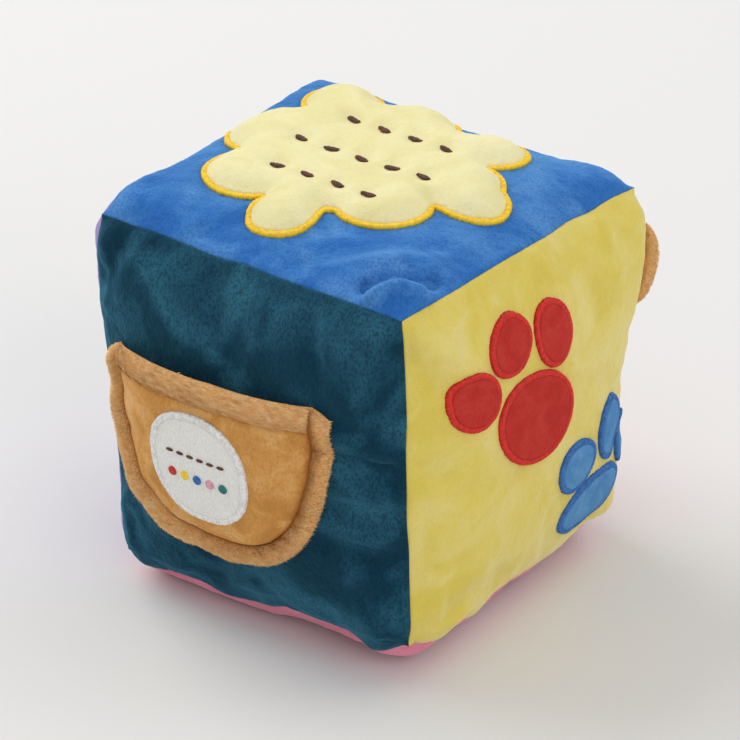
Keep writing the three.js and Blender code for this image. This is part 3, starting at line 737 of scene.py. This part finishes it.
def batting(name):
    """Loose white polyester stuffing, with painted shade where its strands lie low."""
    made = Shader(name, roughness=1, specular=0.1, sheen=0.4)
    strands = made.noise(1.5, detail=4, distortion=2)
    # Painted shade: where the strands' bump sinks, the colour turns greyer
    colour = made.mix(made.spread(strands, 0.3, 0.7), "#d9d7cf", "#f7f6f1")
    return made.finished(colour, made.bump(strands, 1.2, 0.9))


def moulded(name, colour, darker):
    """Moulded plastic with a faint flow in its colour and an even gloss."""
    made = Shader(name, roughness=0.32, specular=0.5)
    flow = made.spread(made.noise(6, detail=3), 0.3, 0.7)
    return made.finished(made.mix(flow, darker, colour), made.bump(made.noise(0.6), 0.03, 0.4))


def paper(name):
    """Matt white paper for the floor."""
    made = Shader(name, roughness=0.9, specular=0.1)
    return made.finished(made.mix(made.noise(3, detail=3), "#e6e5e3", "#e8e7e5"))


MATERIALS = {
    **{name: plush(name, **look) for name, look in PLUSHES.items()},
    **{name: satin(name, colours) for name, colours in SATINS.items()},
    # Tan fibres: the usual colour, a lit one for painted highlight and a deep one for painted shade
    "tan_pile": fibre("tan_pile", ("#fcc27c", "#ffdca4", "#d4974f")),
    "label_cloth": woven("label_cloth", ("#f2f1ec", "#f8f7f3", "#e4e3dd")),
    "stuffing": batting("stuffing"),
    "capsule_plastic": moulded("capsule_plastic", "#dbe5e9", "#c9d5da"),
    "bead_plastic": moulded("bead_plastic", "#e07a3c", "#cf6a2e"),
    "paper": paper("paper"),
}


def dress(piece, node, body="cube"):
    """The piece stands in for a CAD node, which is hidden, and rides on its body; its finish is the
    material already in its slot.
    """
    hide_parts(node)
    return trim(piece, body)


def trim(piece, body="cube"):
    """The piece adds to what it lies on, and rides on the same body."""
    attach(piece, body)
    return piece


# Pile

FIBRE_WIDTH = 0.17
FIBRE_CLUMP = 1.8  # neighbours lean together over this length
FIBRE_STRAY = (0.7, 0.4)  # how far they lean in clumps, and each by itself
FIBRE_LENGTHS = (0.6, 0.6)  # the shortest, as a share of the given length, and the spread
FIBRE_BEND = 0.55  # share of its length at which a fibre bends
FIBRE_TAPER = 0.8  # its width there
FIBRE_CURL = (0.5, 0.25)  # beyond the bend, along the flow and down
FIBRE_ROOT = 0.2  # how deep it is rooted
FIBRE_TWIST = 0.2
FIBRE_SHADE = 0.25  # how far its shading strays from that of the cloth
LONG_PILE = {"length": 2.2, "lean": 0.85, "wander": 0.28}
SHORT_PILE = {"lean": 0.6, "wander": 0.4}
HEM_FIBRES = {**LONG_PILE, "count": 22000, "flow": (1, -0.15), "seeds": (70, 71)}
BINDING_FIBRES = {**SHORT_PILE, "length": 1.4, "count": 32000, "flow": (0.25, -1), "seeds": (80, 81)}
TAB_FIBRES = {**SHORT_PILE, "length": 1, "count": 4000}


def pile(name, surface, flow, count, length, lean, wander, seeds, span=(0, 1), facing=1):
    """Thin bent blades rooted on a surface; flow mixes its s and t directions."""
    places, rng = (np.random.default_rng(seed) for seed in seeds)
    s = span[0] + (span[1] - span[0]) * places.random(count)
    t = places.random(count)
    across, upwards = tangents(surface, s, t)
    along = unit(unit(across) * flow[0] + unit(upwards) * flow[1])
    roots, normals = surface(s, t), facing * unit(np.cross(across, upwards))
    clump = np.stack([noise(roots / FIBRE_CLUMP, seeds[1] + k) for k in range(3)], -1)
    stray = FIBRE_STRAY[0] * clump + FIBRE_STRAY[1] * rng.normal(size=(count, 3))
    direction = unit(normals * (1 - lean) + along * lean + wander * stray)
    reach = length * (FIBRE_LENGTHS[0] + FIBRE_LENGTHS[1] * rng.random((count, 1)))
    twisted = normals + FIBRE_TWIST * rng.normal(size=(count, 3))
    side = unit(np.cross(direction, twisted)) * FIBRE_WIDTH / 2
    middle = roots + direction * reach * FIBRE_BEND
    curl = along * FIBRE_CURL[0] - normals * FIBRE_CURL[1]
    tip = middle + unit(direction + curl) * reach * (1 - FIBRE_BEND)
    base, bend = roots - normals * FIBRE_ROOT, side * FIBRE_TAPER
    points = np.stack([base - side, base + side, middle + bend, middle - bend, tip], 1)
    first = 5 * np.arange(count)[:, None]
    faces = (first + [0, 1, 2, 3]).tolist() + (first + [3, 2, 4]).tolist()
    made = new_object(name, points, faces, "tan_pile")
    shade = unit(normals[:, None] + FIBRE_SHADE * rng.normal(size=(count, 1, 3)))
    shade = shade + np.zeros_like(points)
    made.data.normals_split_custom_set_from_vertices(shade.reshape(-1, 3).tolist())
    return made


def piled(node, surface, steps, fill, span=(0, 1), body="cube", **fibres):
    """A padded sheet of tan plush, with fibres on its outside."""
    sheet = closed_sheet(f"{node}_plush", surface, steps, span)
    dress(sheet, node, body)
    trim(pile(f"{node}_pile", partial(surface, True), span=span, **fibres), body)


# Panels


def panel(face):
    """A crowned sheet of plush whose edges turn inwards as seam allowances."""
    inset = 1 - SEAM_SLIT / HALF
    lining = inset - PLUSH / HALF
    count = PANEL_STEPS + 1
    u, v = np.meshgrid(*[np.linspace(-inset, inset, count)] * 2)
    points = ground(face, u * HALF, v * HALF)
    points = points + surface_normals(face, u, v) * bumps(points, NAP)[..., None]
    rim = rim_of(count, count)
    ring_u, ring_v = u.ravel()[rim] / inset, v.ravel()[rim] / inset
    seam = soft_cube(on_cube(face, ring_u, ring_v)) * (1 - ALLOWANCE / HALF)
    loops = [seam * share + CENTRE for share in (inset, lining)]
    for share in np.linspace(lining, PANEL_INNERMOST, PANEL_INNER_RINGS):
        inner = smooth_surface(face, ring_u * share, ring_v * share)
        loops.append((inner - CENTRE) * (1 - PLUSH / HALF) + CENTRE)
    starts = count * count + len(rim) * np.arange(len(loops))
    rings = [rim] + [start + np.arange(len(rim)) for start in starts]
    faces = grid_faces(count, count)
    for outer, inner in zip(rings, rings[1:]):
        faces += band_faces(outer, inner)
    faces.append(rings[-1].tolist())
    points = np.concatenate([points.reshape(-1, 3), *loops])
    points[:, 2] = np.maximum(points[:, 2], 0)  # it rests on the floor
    made = new_object(f"{face}_panel_plush", points, faces, PANEL_SLOTS[face])
    dress(made, f"{face}_panel")


# Outlines and what is sewn inside them

RIM_CLEARANCE = 0.6  # filling points keep this far from the outline, as a share of their spacing
SAME_POINT = 1e-6  # points this close, in millimetres, would be one


def even_outline(outline, spacing):
    """Points at even distances round a closed outline of many points."""
    closed = np.concatenate([outline, outline[:1]])
    travelled = np.concatenate([[0], np.cumsum(np.linalg.norm(np.diff(closed, axis=0), axis=1))])
    at = np.linspace(0, travelled[-1], int(round(travelled[-1] / spacing)), endpoint=False)
    return np.stack([np.interp(at, travelled, closed[:, i]) for i in range(2)], -1)


def inwards(outline, reach=3):
    """Unit vectors across an anticlockwise outline, towards its inside, smoothed over reach points."""
    run = np.roll(outline, -reach, axis=0) - np.roll(outline, reach, axis=0)
    return unit(np.stack([-run[:, 1], run[:, 0]], -1))


def border(name, outline, place, material, seed, height=BORDER_HEIGHT):
    """A raised satin border along the inside of an outline, thread by thread."""
    line = even_outline(outline, THREAD_PITCH / THREAD_SAMPLES)
    count = len(line) - len(line) % THREAD_SAMPLES
    line = line[:count]
    across = inwards(line, reach=2 * THREAD_SAMPLES)
    thread = np.arange(count) // THREAD_SAMPLES
    ragged = np.random.default_rng(seed).normal(size=(2, thread[-1] + 1))[:, thread]
    ridge = np.sin(math.pi * (np.arange(count) % THREAD_SAMPLES + 0.5) / THREAD_SAMPLES)
    share = np.linspace(0, 1, BORDER_COLUMNS)[:, None]
    offset = share * BORDER_WIDTH + BORDER_RAGGED * (ragged[0] * (1 - share) + ragged[1] * share)
    arch = np.sqrt(np.clip(1 - (2 * share - 1) ** BORDER_FLATNESS, 0, 1))
    lift = height * arch * (THREAD_SHADE[0] + THREAD_SHADE[1] * ridge) - GAP * (1 - arch)
    x, y = np.moveaxis(line + across * offset[..., None], -1, 0)
    points = place(x, y, lift)
    under = place(x[[-1, 0]], y[[-1, 0]], -GAP + 0 * lift[:2])
    points = np.concatenate([points.reshape(-1, 3), under.reshape(-1, 3)])
    faces = grid_faces(BORDER_COLUMNS + 2, count, wrap=True, flip=True)
    last = (BORDER_COLUMNS + 1) * count
    faces += band_faces(last + np.arange(count), np.arange(count))
    dress(new_object(f"{name}_stitching", points, faces, material), f"{name}_border")


def distance_to_outline(x, y, outline):
    nearest = np.full(np.shape(x), np.inf)
    for spot_x, spot_y in outline:
        nearest = np.minimum(nearest, np.hypot(x - spot_x, y - spot_y))
    return nearest


def inside(x, y, outline):
    """Which places lie inside a closed outline."""
    within = np.zeros(np.shape(x), bool)
    for (ax, ay), (bx, by) in zip(outline, np.roll(outline, -1, axis=0)):
        if ay != by:
            within ^= ((ay > y) != (by > y)) & (x < (bx - ax) * (y - ay) / (by - ay) + ax)
    return within


def filled(outline, spacing):
    """Even points inside an outline, after the outline's own, and triangles between them all."""
    low, high = outline.min(0), outline.max(0)
    x, y = np.meshgrid(*[np.arange(a, b, spacing) for a, b in zip(low, high)])
    x[1::2] += spacing / 2
    kept = inside(x, y, outline) & (distance_to_outline(x, y, outline) > RIM_CLEARANCE * spacing)
    points = np.concatenate([outline, np.stack([x[kept], y[kept]], -1)])
    count = len(outline)
    rim = [(k, (k + 1) % count) for k in range(count)]
    made = delaunay_2d_cdt([Vector(point) for point in points], rim, [], 1, SAME_POINT, True)
    source = np.array([numbers[0] for numbers in made[3]])
    triangles = source[np.array(made[2])]
    middles = points[triangles].mean(1)
    return points, triangles[inside(*middles.T, outline)].tolist()


def patch(name, outline, place, height_at, spacing, material):
    """A closed patch inside an outline; height_at gives its height at each place."""
    rim = even_outline(outline, spacing)
    points, triangles = filled(rim, spacing)
    x, y = points.T
    upper, lower = place(x, y, height_at(x, y)), place(x, y, 0 * x)
    count = len(points)
    faces = list(triangles)
    faces += [[count + k for k in reversed(triangle)] for triangle in triangles]
    edge = np.arange(len(rim))
    faces += band_faces(edge, count + edge)
    return new_object(name, np.concatenate([upper, lower]), faces, material)


def ring_angles(steps):
    return np.linspace(0, 2 * math.pi, steps, endpoint=False)


def turned(x, y, angle):
    c, s = math.cos(angle), math.sin(angle)
    return x * c - y * s, x * s + y * c


def oval(radii, turn=0, steps=OUTLINE_STEPS):
    angle = ring_angles(steps)
    x, y = radii[0] * np.cos(angle), radii[1] * np.sin(angle)
    return np.stack(turned(x, y, math.radians(turn)), -1)


def squared_circle(angle, squareness):
    """The points of a unit circle pressed towards a square."""
    c, s = np.cos(angle), np.sin(angle)
    power = np.abs(c) ** squareness + np.abs(s) ** squareness
    return np.stack([c, s]) / power ** (1 / squareness)


def within_border(outline):
    """The outline of what is sewn down under a border."""
    return outline + inwards(outline) * (BORDER_WIDTH - BORDER_TUCK)


def level(height):
    return lambda x, y: height + 0 * x


def place_on(face, middle=(0, 0)):
    return lambda x, y, lift: ground(face, middle[0] + x, middle[1] + y, lift + GAP)


# Biscuit


def biscuit_outline():
    """The outermost point of the lobes in each direction from the middle."""
    angle = ring_angles(BISCUIT_STEPS)
    reach = 0 * angle
    for x, y, radius in np.array(BISCUIT_LOBES) * BISCUIT_REACH:
        along = x * np.cos(angle) + y * np.sin(angle)
        aside = x * np.sin(angle) - y * np.cos(angle)
        chord = np.sqrt(np.clip(radius * radius - aside * aside, 0, None))
        reach = np.maximum(reach, np.where(np.abs(aside) < radius, along + chord, 0))
    return even_outline(np.stack([reach * np.cos(angle), reach * np.sin(angle)], -1), BISCUIT_SPACING)


def centred(count, spacing):
    """Places in a row about 0."""
    return (np.arange(count) - (count - 1) / 2) * spacing


def mark_places():
    """The middles of the stitched marks, row by row."""
    levels = centred(len(MARK_ROWS), MARK_SPACING[1])
    return [(x, y) for y, count in zip(levels, MARK_ROWS) for x in centred(count, MARK_SPACING[0])]


def biscuit_height(x, y, outline):
    """Puffed towards the middle and drawn down where each mark is sewn."""
    share = np.clip(distance_to_outline(x, y, outline) / BISCUIT_SLOPE, 0, 1)
    height = BISCUIT_EDGE + BISCUIT_PUFF * (1 - (1 - share) ** BISCUIT_POWER)
    for mark_x, mark_y in mark_places():
        distance = np.hypot(x - mark_x, y - mark_y)
        height = height - DIMPLE_DEPTH * np.exp(-((distance / DIMPLE_RADIUS) ** 2))
    return height


def biscuit():
    outline = biscuit_outline()
    place = place_on("top")
    body = within_border(outline)

    def napped(x, y):
        return biscuit_height(x, y, body) + bumps(np.stack([x, y, 0 * x], -1), NAP)

    made = patch("biscuit_plush", body, place, napped, BISCUIT_SPACING, "cream_plush")
    dress(made, "biscuit_patch")
    border("biscuit", outline, place, "gold_satin", seed=1)
    for k, at in enumerate(mark_places()):
        tuft(f"biscuit_mark_{k + 1}", place_on("top", at), biscuit_height(*at, body), MARK_SEED + k)


def tuft(node, seat, crown, seed):
    """A small mark of satin stitches, sewn down into the biscuit."""
    rng = np.random.default_rng(seed)
    turn = MARK_TURN * rng.normal()
    share = centred(MARK_THREADS, 1) / ((MARK_THREADS + 1) / 2)
    half = MARK_WIDTH / 2 * np.sqrt(1 - share**2) + MARK_RAGGED * rng.normal(size=MARK_THREADS)
    width = MARK_LENGTH / MARK_THREADS
    middle = share * (MARK_LENGTH + width) / 2
    station, angle = np.linspace(-1, 1, MARK_STATIONS)[:, None], ring_angles(MARK_CORNERS)
    arch = np.sqrt(1 - station**4)
    swell = MARK_OVERLAP / 2 * width * (MARK_SWELL[0] + MARK_SWELL[1] * arch)
    x = middle[:, None, None] + swell * np.cos(angle)
    y = half[:, None, None] * station + 0 * x
    lift = crown + MARK_LIFT[0] + MARK_LIFT[1] * arch + swell * np.sin(angle) + 0 * x
    faces = []
    for first in range(0, x.size, MARK_STATIONS * MARK_CORNERS):
        last = first + (MARK_STATIONS - 1) * MARK_CORNERS
        faces += grid_faces(MARK_STATIONS, MARK_CORNERS, first, wrap=True)
        faces.append(list(range(first, first + MARK_CORNERS))[::-1])
        faces.append(list(range(last, last + MARK_CORNERS)))
    points = seat(*turned(x.ravel(), y.ravel(), turn), lift.ravel())
    dress(new_object(f"{node}_stitches", points, faces, "brown_thread"), node)


# Pocket


def pocket_bulge(x, depth):
    """How far the pocket's front stands off the panel."""
    across = np.abs(x) / (POCKET_HALF_WIDTH - BINDING_WIDTH)
    down = np.maximum(depth, 0) / (POCKET_DEPTH - BINDING_WIDTH)
    reach = (across**POCKET_SQUARENESS + down**POCKET_SQUARENESS) ** (1 / POCKET_SQUARENESS)
    return POCKET_BULGE * np.maximum(0, 1 - reach**3)


def pocket_edge(angle, inset):
    """The pocket's round edge, from its left end at angle 0 to its right end at pi."""
    across, down = squared_circle(angle, POCKET_SQUARENESS)
    return np.stack([-(POCKET_HALF_WIDTH - inset) * across, (POCKET_DEPTH - inset) * down])


def edge_across(down):
    """How far out that edge is at a share of the way down, from 0 to 1."""
    return (1 - np.clip(down, 0, 1) ** POCKET_SQUARENESS) ** (1 / POCKET_SQUARENESS)


def on_pocket(x, depth, lift):
    """A place on the pocket: x from its middle, depth down from the mouth."""
    slump = np.exp(-((x + POCKET_HALF_WIDTH) ** 2 + depth**2) / POCKET_SLUMP_REACH**2)
    x, depth = x + POCKET_SLUMP[0] * slump, depth + POCKET_SLUMP[1] * slump
    sag = POCKET_SAG * (1 - (x / POCKET_HALF_WIDTH) ** 2) * (1 - depth / POCKET_DEPTH)
    return ground("front", POCKET_PLACE[0] + x, POCKET_PLACE[1] - depth - sag, lift + GAP)


def padding(height, rounding, share):
    """Thickness of a rounded band at a share of its width."""
    return height * (1 - rounding + rounding * np.sin(math.pi * np.clip(share, 0, 1)) ** PADDING_POWER)


def pocket_front_place(s, t):
    """The front's x and depth inside its four edges, with s across and t upwards."""
    inset = BINDING_WIDTH + GAP
    top = HEM_WIDTH + GAP
    down = top / (POCKET_DEPTH - inset)
    start = math.atan2(down, edge_across(down))

    def edge(share):
        return pocket_edge(start + share * (math.pi - 2 * start), inset)

    def between(left, right):
        return np.multiply.outer(edge(left), 1 - s) + np.multiply.outer(edge(right), s)

    bottom = edge(POCKET_SIDE + s * (1 - 2 * POCKET_SIDE)) - between(POCKET_SIDE, 1 - POCKET_SIDE)
    mouth = np.stack([edge(0)[0] * (1 - 2 * s), top + 0 * s]) - between(0, 1)
    left, right = edge(POCKET_SIDE * (1 - t)), edge(1 - POCKET_SIDE * (1 - t))
    return (1 - t) * bottom + t * mouth + (1 - s) * left + s * right


def pocket_front(outside, s, t):
    """The front's plush, drawn down along the stitching round it."""
    x, depth = pocket_front_place(s, t)
    height = pocket_bulge(x, depth)
    if not outside:
        return on_pocket(x, depth, height)
    aside = 2 * POCKET_HALF_WIDTH * np.minimum(s, 1 - s)
    rim = np.minimum(aside, POCKET_DEPTH * np.minimum(t, 1 - t))
    dip = POCKET_EDGE_DIP * np.exp(-np.maximum(rim, 0) / POCKET_EDGE_SLOPE)
    height = height + (POCKET_PLUSH - dip)
    return on_pocket(x, depth, height + bumps(on_pocket(x, depth, height), NAP))


def hem(outside, s, t):
    inset = BINDING_WIDTH + GAP
    depth = HEM_WIDTH * (1 - t)
    x = s * (POCKET_HALF_WIDTH - inset) * edge_across(depth / (POCKET_DEPTH - inset))
    pillow = padding(HEM_HEIGHT, HEM_ROUNDING, t) if outside else 0
    return on_pocket(x, depth, pocket_bulge(x, depth) + pillow)


def binding(outside, s, t):
    x, depth = pocket_edge(math.pi * s, BINDING_WIDTH * t)
    corner = POCKET_CORNER * (1 - t) ** 2 * np.maximum(0, 1 - depth / BINDING_WIDTH)
    if not outside:
        return on_pocket(x, depth + corner, 0 * s)
    ends = np.sqrt(np.clip(np.minimum(s, 1 - s) / BINDING_TAPER, BINDING_END, 1))
    return on_pocket(x, depth + corner, padding(BINDING_HEIGHT, BINDING_ROUNDING, t) * ends)


def pocket():
    """The front, the turned hem along the mouth and the binding round the sides and bottom."""
    front = closed_sheet("pocket_front_plush", pocket_front, steps=(200, 140))
    dress(front, "pocket_front")
    piled("pocket_hem", hem, (200, 24), fill=0.5, span=(-1, 1), **HEM_FIBRES)
    piled("pocket_binding", binding, (320, 24), fill=0.6, **BINDING_FIBRES)


# Label


def on_label(x, y, lift):
    free_height = POCKET_DEPTH - BINDING_WIDTH - HEM_WIDTH - 2 * LABEL_RADIUS
    middle = HEM_WIDTH + LABEL_LEVEL * free_height + LABEL_RADIUS
    across, depth = LABEL_ASIDE + x, middle - y
    return on_pocket(across, depth, pocket_bulge(across, depth) + POCKET_PLUSH + GAP + lift)


def label():
    """A white cloth with a satin border, stitched with a row of dashes and one of coloured dots."""
    outline = (LABEL_RADIUS * squared_circle(ring_angles(OUTLINE_STEPS), LABEL_SQUARENESS)).T
    body = within_border(outline)
    cloth = patch("label_sheet", body, on_label, level(LABEL_THICKNESS), 1, "label_cloth")
    dress(cloth, "pocket_label")
    border("label", outline, on_label, "white_satin", 2, LABEL_BORDER_HEIGHT)
    for kind, row in LABEL_ROWS.items():
        stitched_row(kind, *row)


def stitched_row(kind, threads, radii, spacing, level_on_label, slot):
    """A row of small flat embroidered ovals on the label."""
    outline, height = oval(radii, steps=SPOT_STEPS), level(STITCH_HEIGHT)
    for k, (thread, middle) in enumerate(zip(threads, centred(len(threads), spacing))):

        def place(x, y, lift):
            return on_label(middle + x, level_on_label + y, LABEL_THICKNESS + lift)

        trim(patch(f"label_{kind}_{k + 1}", outline, place, height, SPOT_SPACING, thread))


# Paw prints


def paws():
    for colour, prints in PAWS.items():
        for k, (name, (at, shares, turn)) in enumerate(prints.items()):
            node, slot = f"{colour}_{name}", f"{colour}_felt"
            place = place_on("right", [share * HALF for share in at])
            radii = [share * HALF for share in shares]
            outline = oval(radii, turn)
            body = within_border(outline)

            def crowned(x, y):
                crown = PAW_CROWN[0] - PAW_CROWN[1] * (np.hypot(x, y) / max(radii)) ** 2
                return PAW_THICKNESS * crown + PAW_NAP * bumps(np.stack([x, y, 0 * x], -1), NAP)

            felt = patch(f"{node}_piece", body, place, crowned, PAW_SPACING, slot)
            dress(felt, node)
            border(node, outline, place, f"{colour}_satin", seed=10 + k)


# Tab


def tab_side(side, outside, s, t):
    """A padded layer's outside or inside: s from -1 to 1 along the seam and t outwards."""
    outward = np.array([1, 1, 0]) / math.sqrt(2)
    sideways = np.array([-1, 1, 0]) / math.sqrt(2)
    height = TAB_HEIGHT / 2 * s * np.sqrt(np.clip(1 - t * t / 2, 0, 1))
    distance = TAB_ROOT + (TAB_REACH - TAB_ROOT) * t * np.sqrt(np.clip(1 - s * s / 2, 0, 1))
    rim = np.clip((1 - s * s) * (1 - t * t), 0, 1)
    half = TAB_THICKNESS / 2 * (1 - TAB_ROUNDING + TAB_ROUNDING * rim**TAB_ROUND_POWER)
    thickness = np.minimum(half, GAP / 2 + TAB_ROOT_SLOPE * distance)
    offset = side * (thickness if outside else GAP / 2 + 0 * s)
    level_on_seam = TAB_LEVEL + height / HALF
    ones = 1 + 0 * level_on_seam
    seam = soft_cube(np.stack([ones, ones, level_on_seam], -1)) + CENTRE
    return seam + distance[..., None] * outward + offset[..., None] * sideways


def tab():
    for node, side in (("tab_front_layer", -1), ("tab_back_layer", 1)):
        piled(
            node,
            partial(tab_side, side),
            (90, 50),
            fill=0.6,
            span=(-side, side),
            body="tab",
            flow=(0.1 * side, 1),
            seeds=(90 + side, 95 + side),
            facing=side,
            **TAB_FIBRES,
        )


# Inside

STUFFING_CELL = 2.5
CAPSULE_BEVEL = 0.25
BEVEL_SEGMENTS = 3
BEAD_LEVELS = 2


def stuffing():
    """Each wad of stuffing as a lumpy copy of its solid."""
    for node in ("lower_stuffing", "upper_stuffing"):
        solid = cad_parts[node]
        wad = linked(f"{node}_wad", solid.data.copy())
        wad.matrix_basis = solid.matrix_basis
        remesh = wad.modifiers.new("Remesh", "REMESH")
        remesh.mode = "VOXEL"
        remesh.voxel_size = STUFFING_CELL * MM
        evaluated = wad.evaluated_get(bpy.context.evaluated_depsgraph_get())
        mesh = wad.data = bpy.data.meshes.new_from_object(evaluated)
        wad.modifiers.clear()
        places = np.array([vertex.co for vertex in mesh.vertices]) / MM
        normals = np.array([vertex.normal for vertex in mesh.vertices])
        lumps = bumps(places, STUFFING_LUMPS) - 1
        places = (places + normals * lumps[:, None]) * MM
        mesh.vertices.foreach_set("co", places.astype(np.float32).ravel())
        mesh.materials.clear()
        mesh.materials.append(MATERIALS["stuffing"])
        mesh.shade_smooth()
        dress(wad, node)


def finish_node(node, slot):
    """A CAD node that stays as it is and gets its material."""
    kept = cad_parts[node]
    kept.data.materials.clear()
    kept.data.materials.append(MATERIALS[slot])
    kept.data.shade_smooth()
    return kept


def rattle():
    """The capsule with softened edges, and its round beads."""
    for node in ("rattle_cup", "rattle_lid"):
        bevel = finish_node(node, "capsule_plastic").modifiers.new("Bevel", "BEVEL")
        bevel.width = CAPSULE_BEVEL * MM
        bevel.segments = BEVEL_SEGMENTS
        bevel.harden_normals = True
    for node in [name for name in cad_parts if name.startswith("bead_")]:
        rounder = finish_node(node, "bead_plastic").modifiers.new("Subdivision", "SUBSURF")
        rounder.levels = rounder.render_levels = BEAD_LEVELS


# The studio


def aimed(name, data, azimuth, elevation, distance, roll=0, shift=(0, 0)):
    """A camera or lamp that faces the cube: azimuth 0 is on the -Y side and 90 on the +X side."""
    a, e = math.radians(azimuth), math.radians(elevation)
    back = Vector((math.sin(a) * math.cos(e), -math.cos(a) * math.cos(e), math.sin(e)))
    turn = back.to_track_quat("Z", "Y").to_matrix() @ Matrix.Rotation(math.radians(roll), 3, "Z")
    place = Vector(CENTRE * MM) + turn @ Vector((*shift, distance))
    made = linked(name, data)
    made.matrix_world = Matrix.LocRotScale(place, turn, None)
    return made


def camera():
    """The photograph's own view."""
    data = bpy.data.cameras.new("camera")
    data.lens = LENS
    data.sensor_width = SENSOR
    bpy.context.scene.camera = aimed("camera", data, **CAMERA)


def lamp(name, size, power, **place):
    """A square soft lamp."""
    data = bpy.data.lights.new(name, "AREA")
    data.size = size
    data.energy = power
    aimed(name, data, **place)


def studio():
    """A pale floor in a bright room with three soft lamps."""
    lamp("key", azimuth=-90, elevation=42, distance=3.2, size=2.6, power=62)
    lamp("back", azimuth=150, elevation=50, distance=3.2, size=2, power=18)
    lamp("fill", azimuth=70, elevation=30, distance=3, size=2, power=22)
    world = bpy.data.worlds.new("studio")
    bpy.context.scene.world = world
    world.use_nodes = True
    tree = world.node_tree
    room = tree.nodes["Background"]
    room.inputs["Color"].default_value = linear(ROOM_COLOUR)
    room.inputs["Strength"].default_value = ROOM_STRENGTH
    backdrop = fed(tree, "Background", {"Color": linear(BACKDROP_COLOUR)})
    path = fed(tree, "LightPath", {})
    shown = path.outputs["Is Camera Ray"]
    for kind in ("Is Glossy Ray", "Is Transmission Ray"):
        either = fed(tree, "Math", {0: shown, 1: path.outputs[kind]}, operation="MAXIMUM")
        shown = either.outputs["Value"]
    mix = fed(tree, "MixShader", {"Fac": shown, 1: room.outputs[0], 2: backdrop.outputs[0]})
    tree.links.new(mix.outputs["Shader"], tree.nodes["World Output"].inputs["Surface"])
    around = [(-1, -1, 0), (1, -1, 0), (1, 1, 0), (-1, 1, 0)]
    new_object("floor", FLOOR_REACH * np.array(around), [[0, 1, 2, 3]], "paper")
    bpy.context.scene.view_settings.view_transform = "Standard"


camera()
studio()
for face_name in FACES:
    panel(face_name)
biscuit()
pocket()
label()
paws()
tab()
stuffing()
rattle()
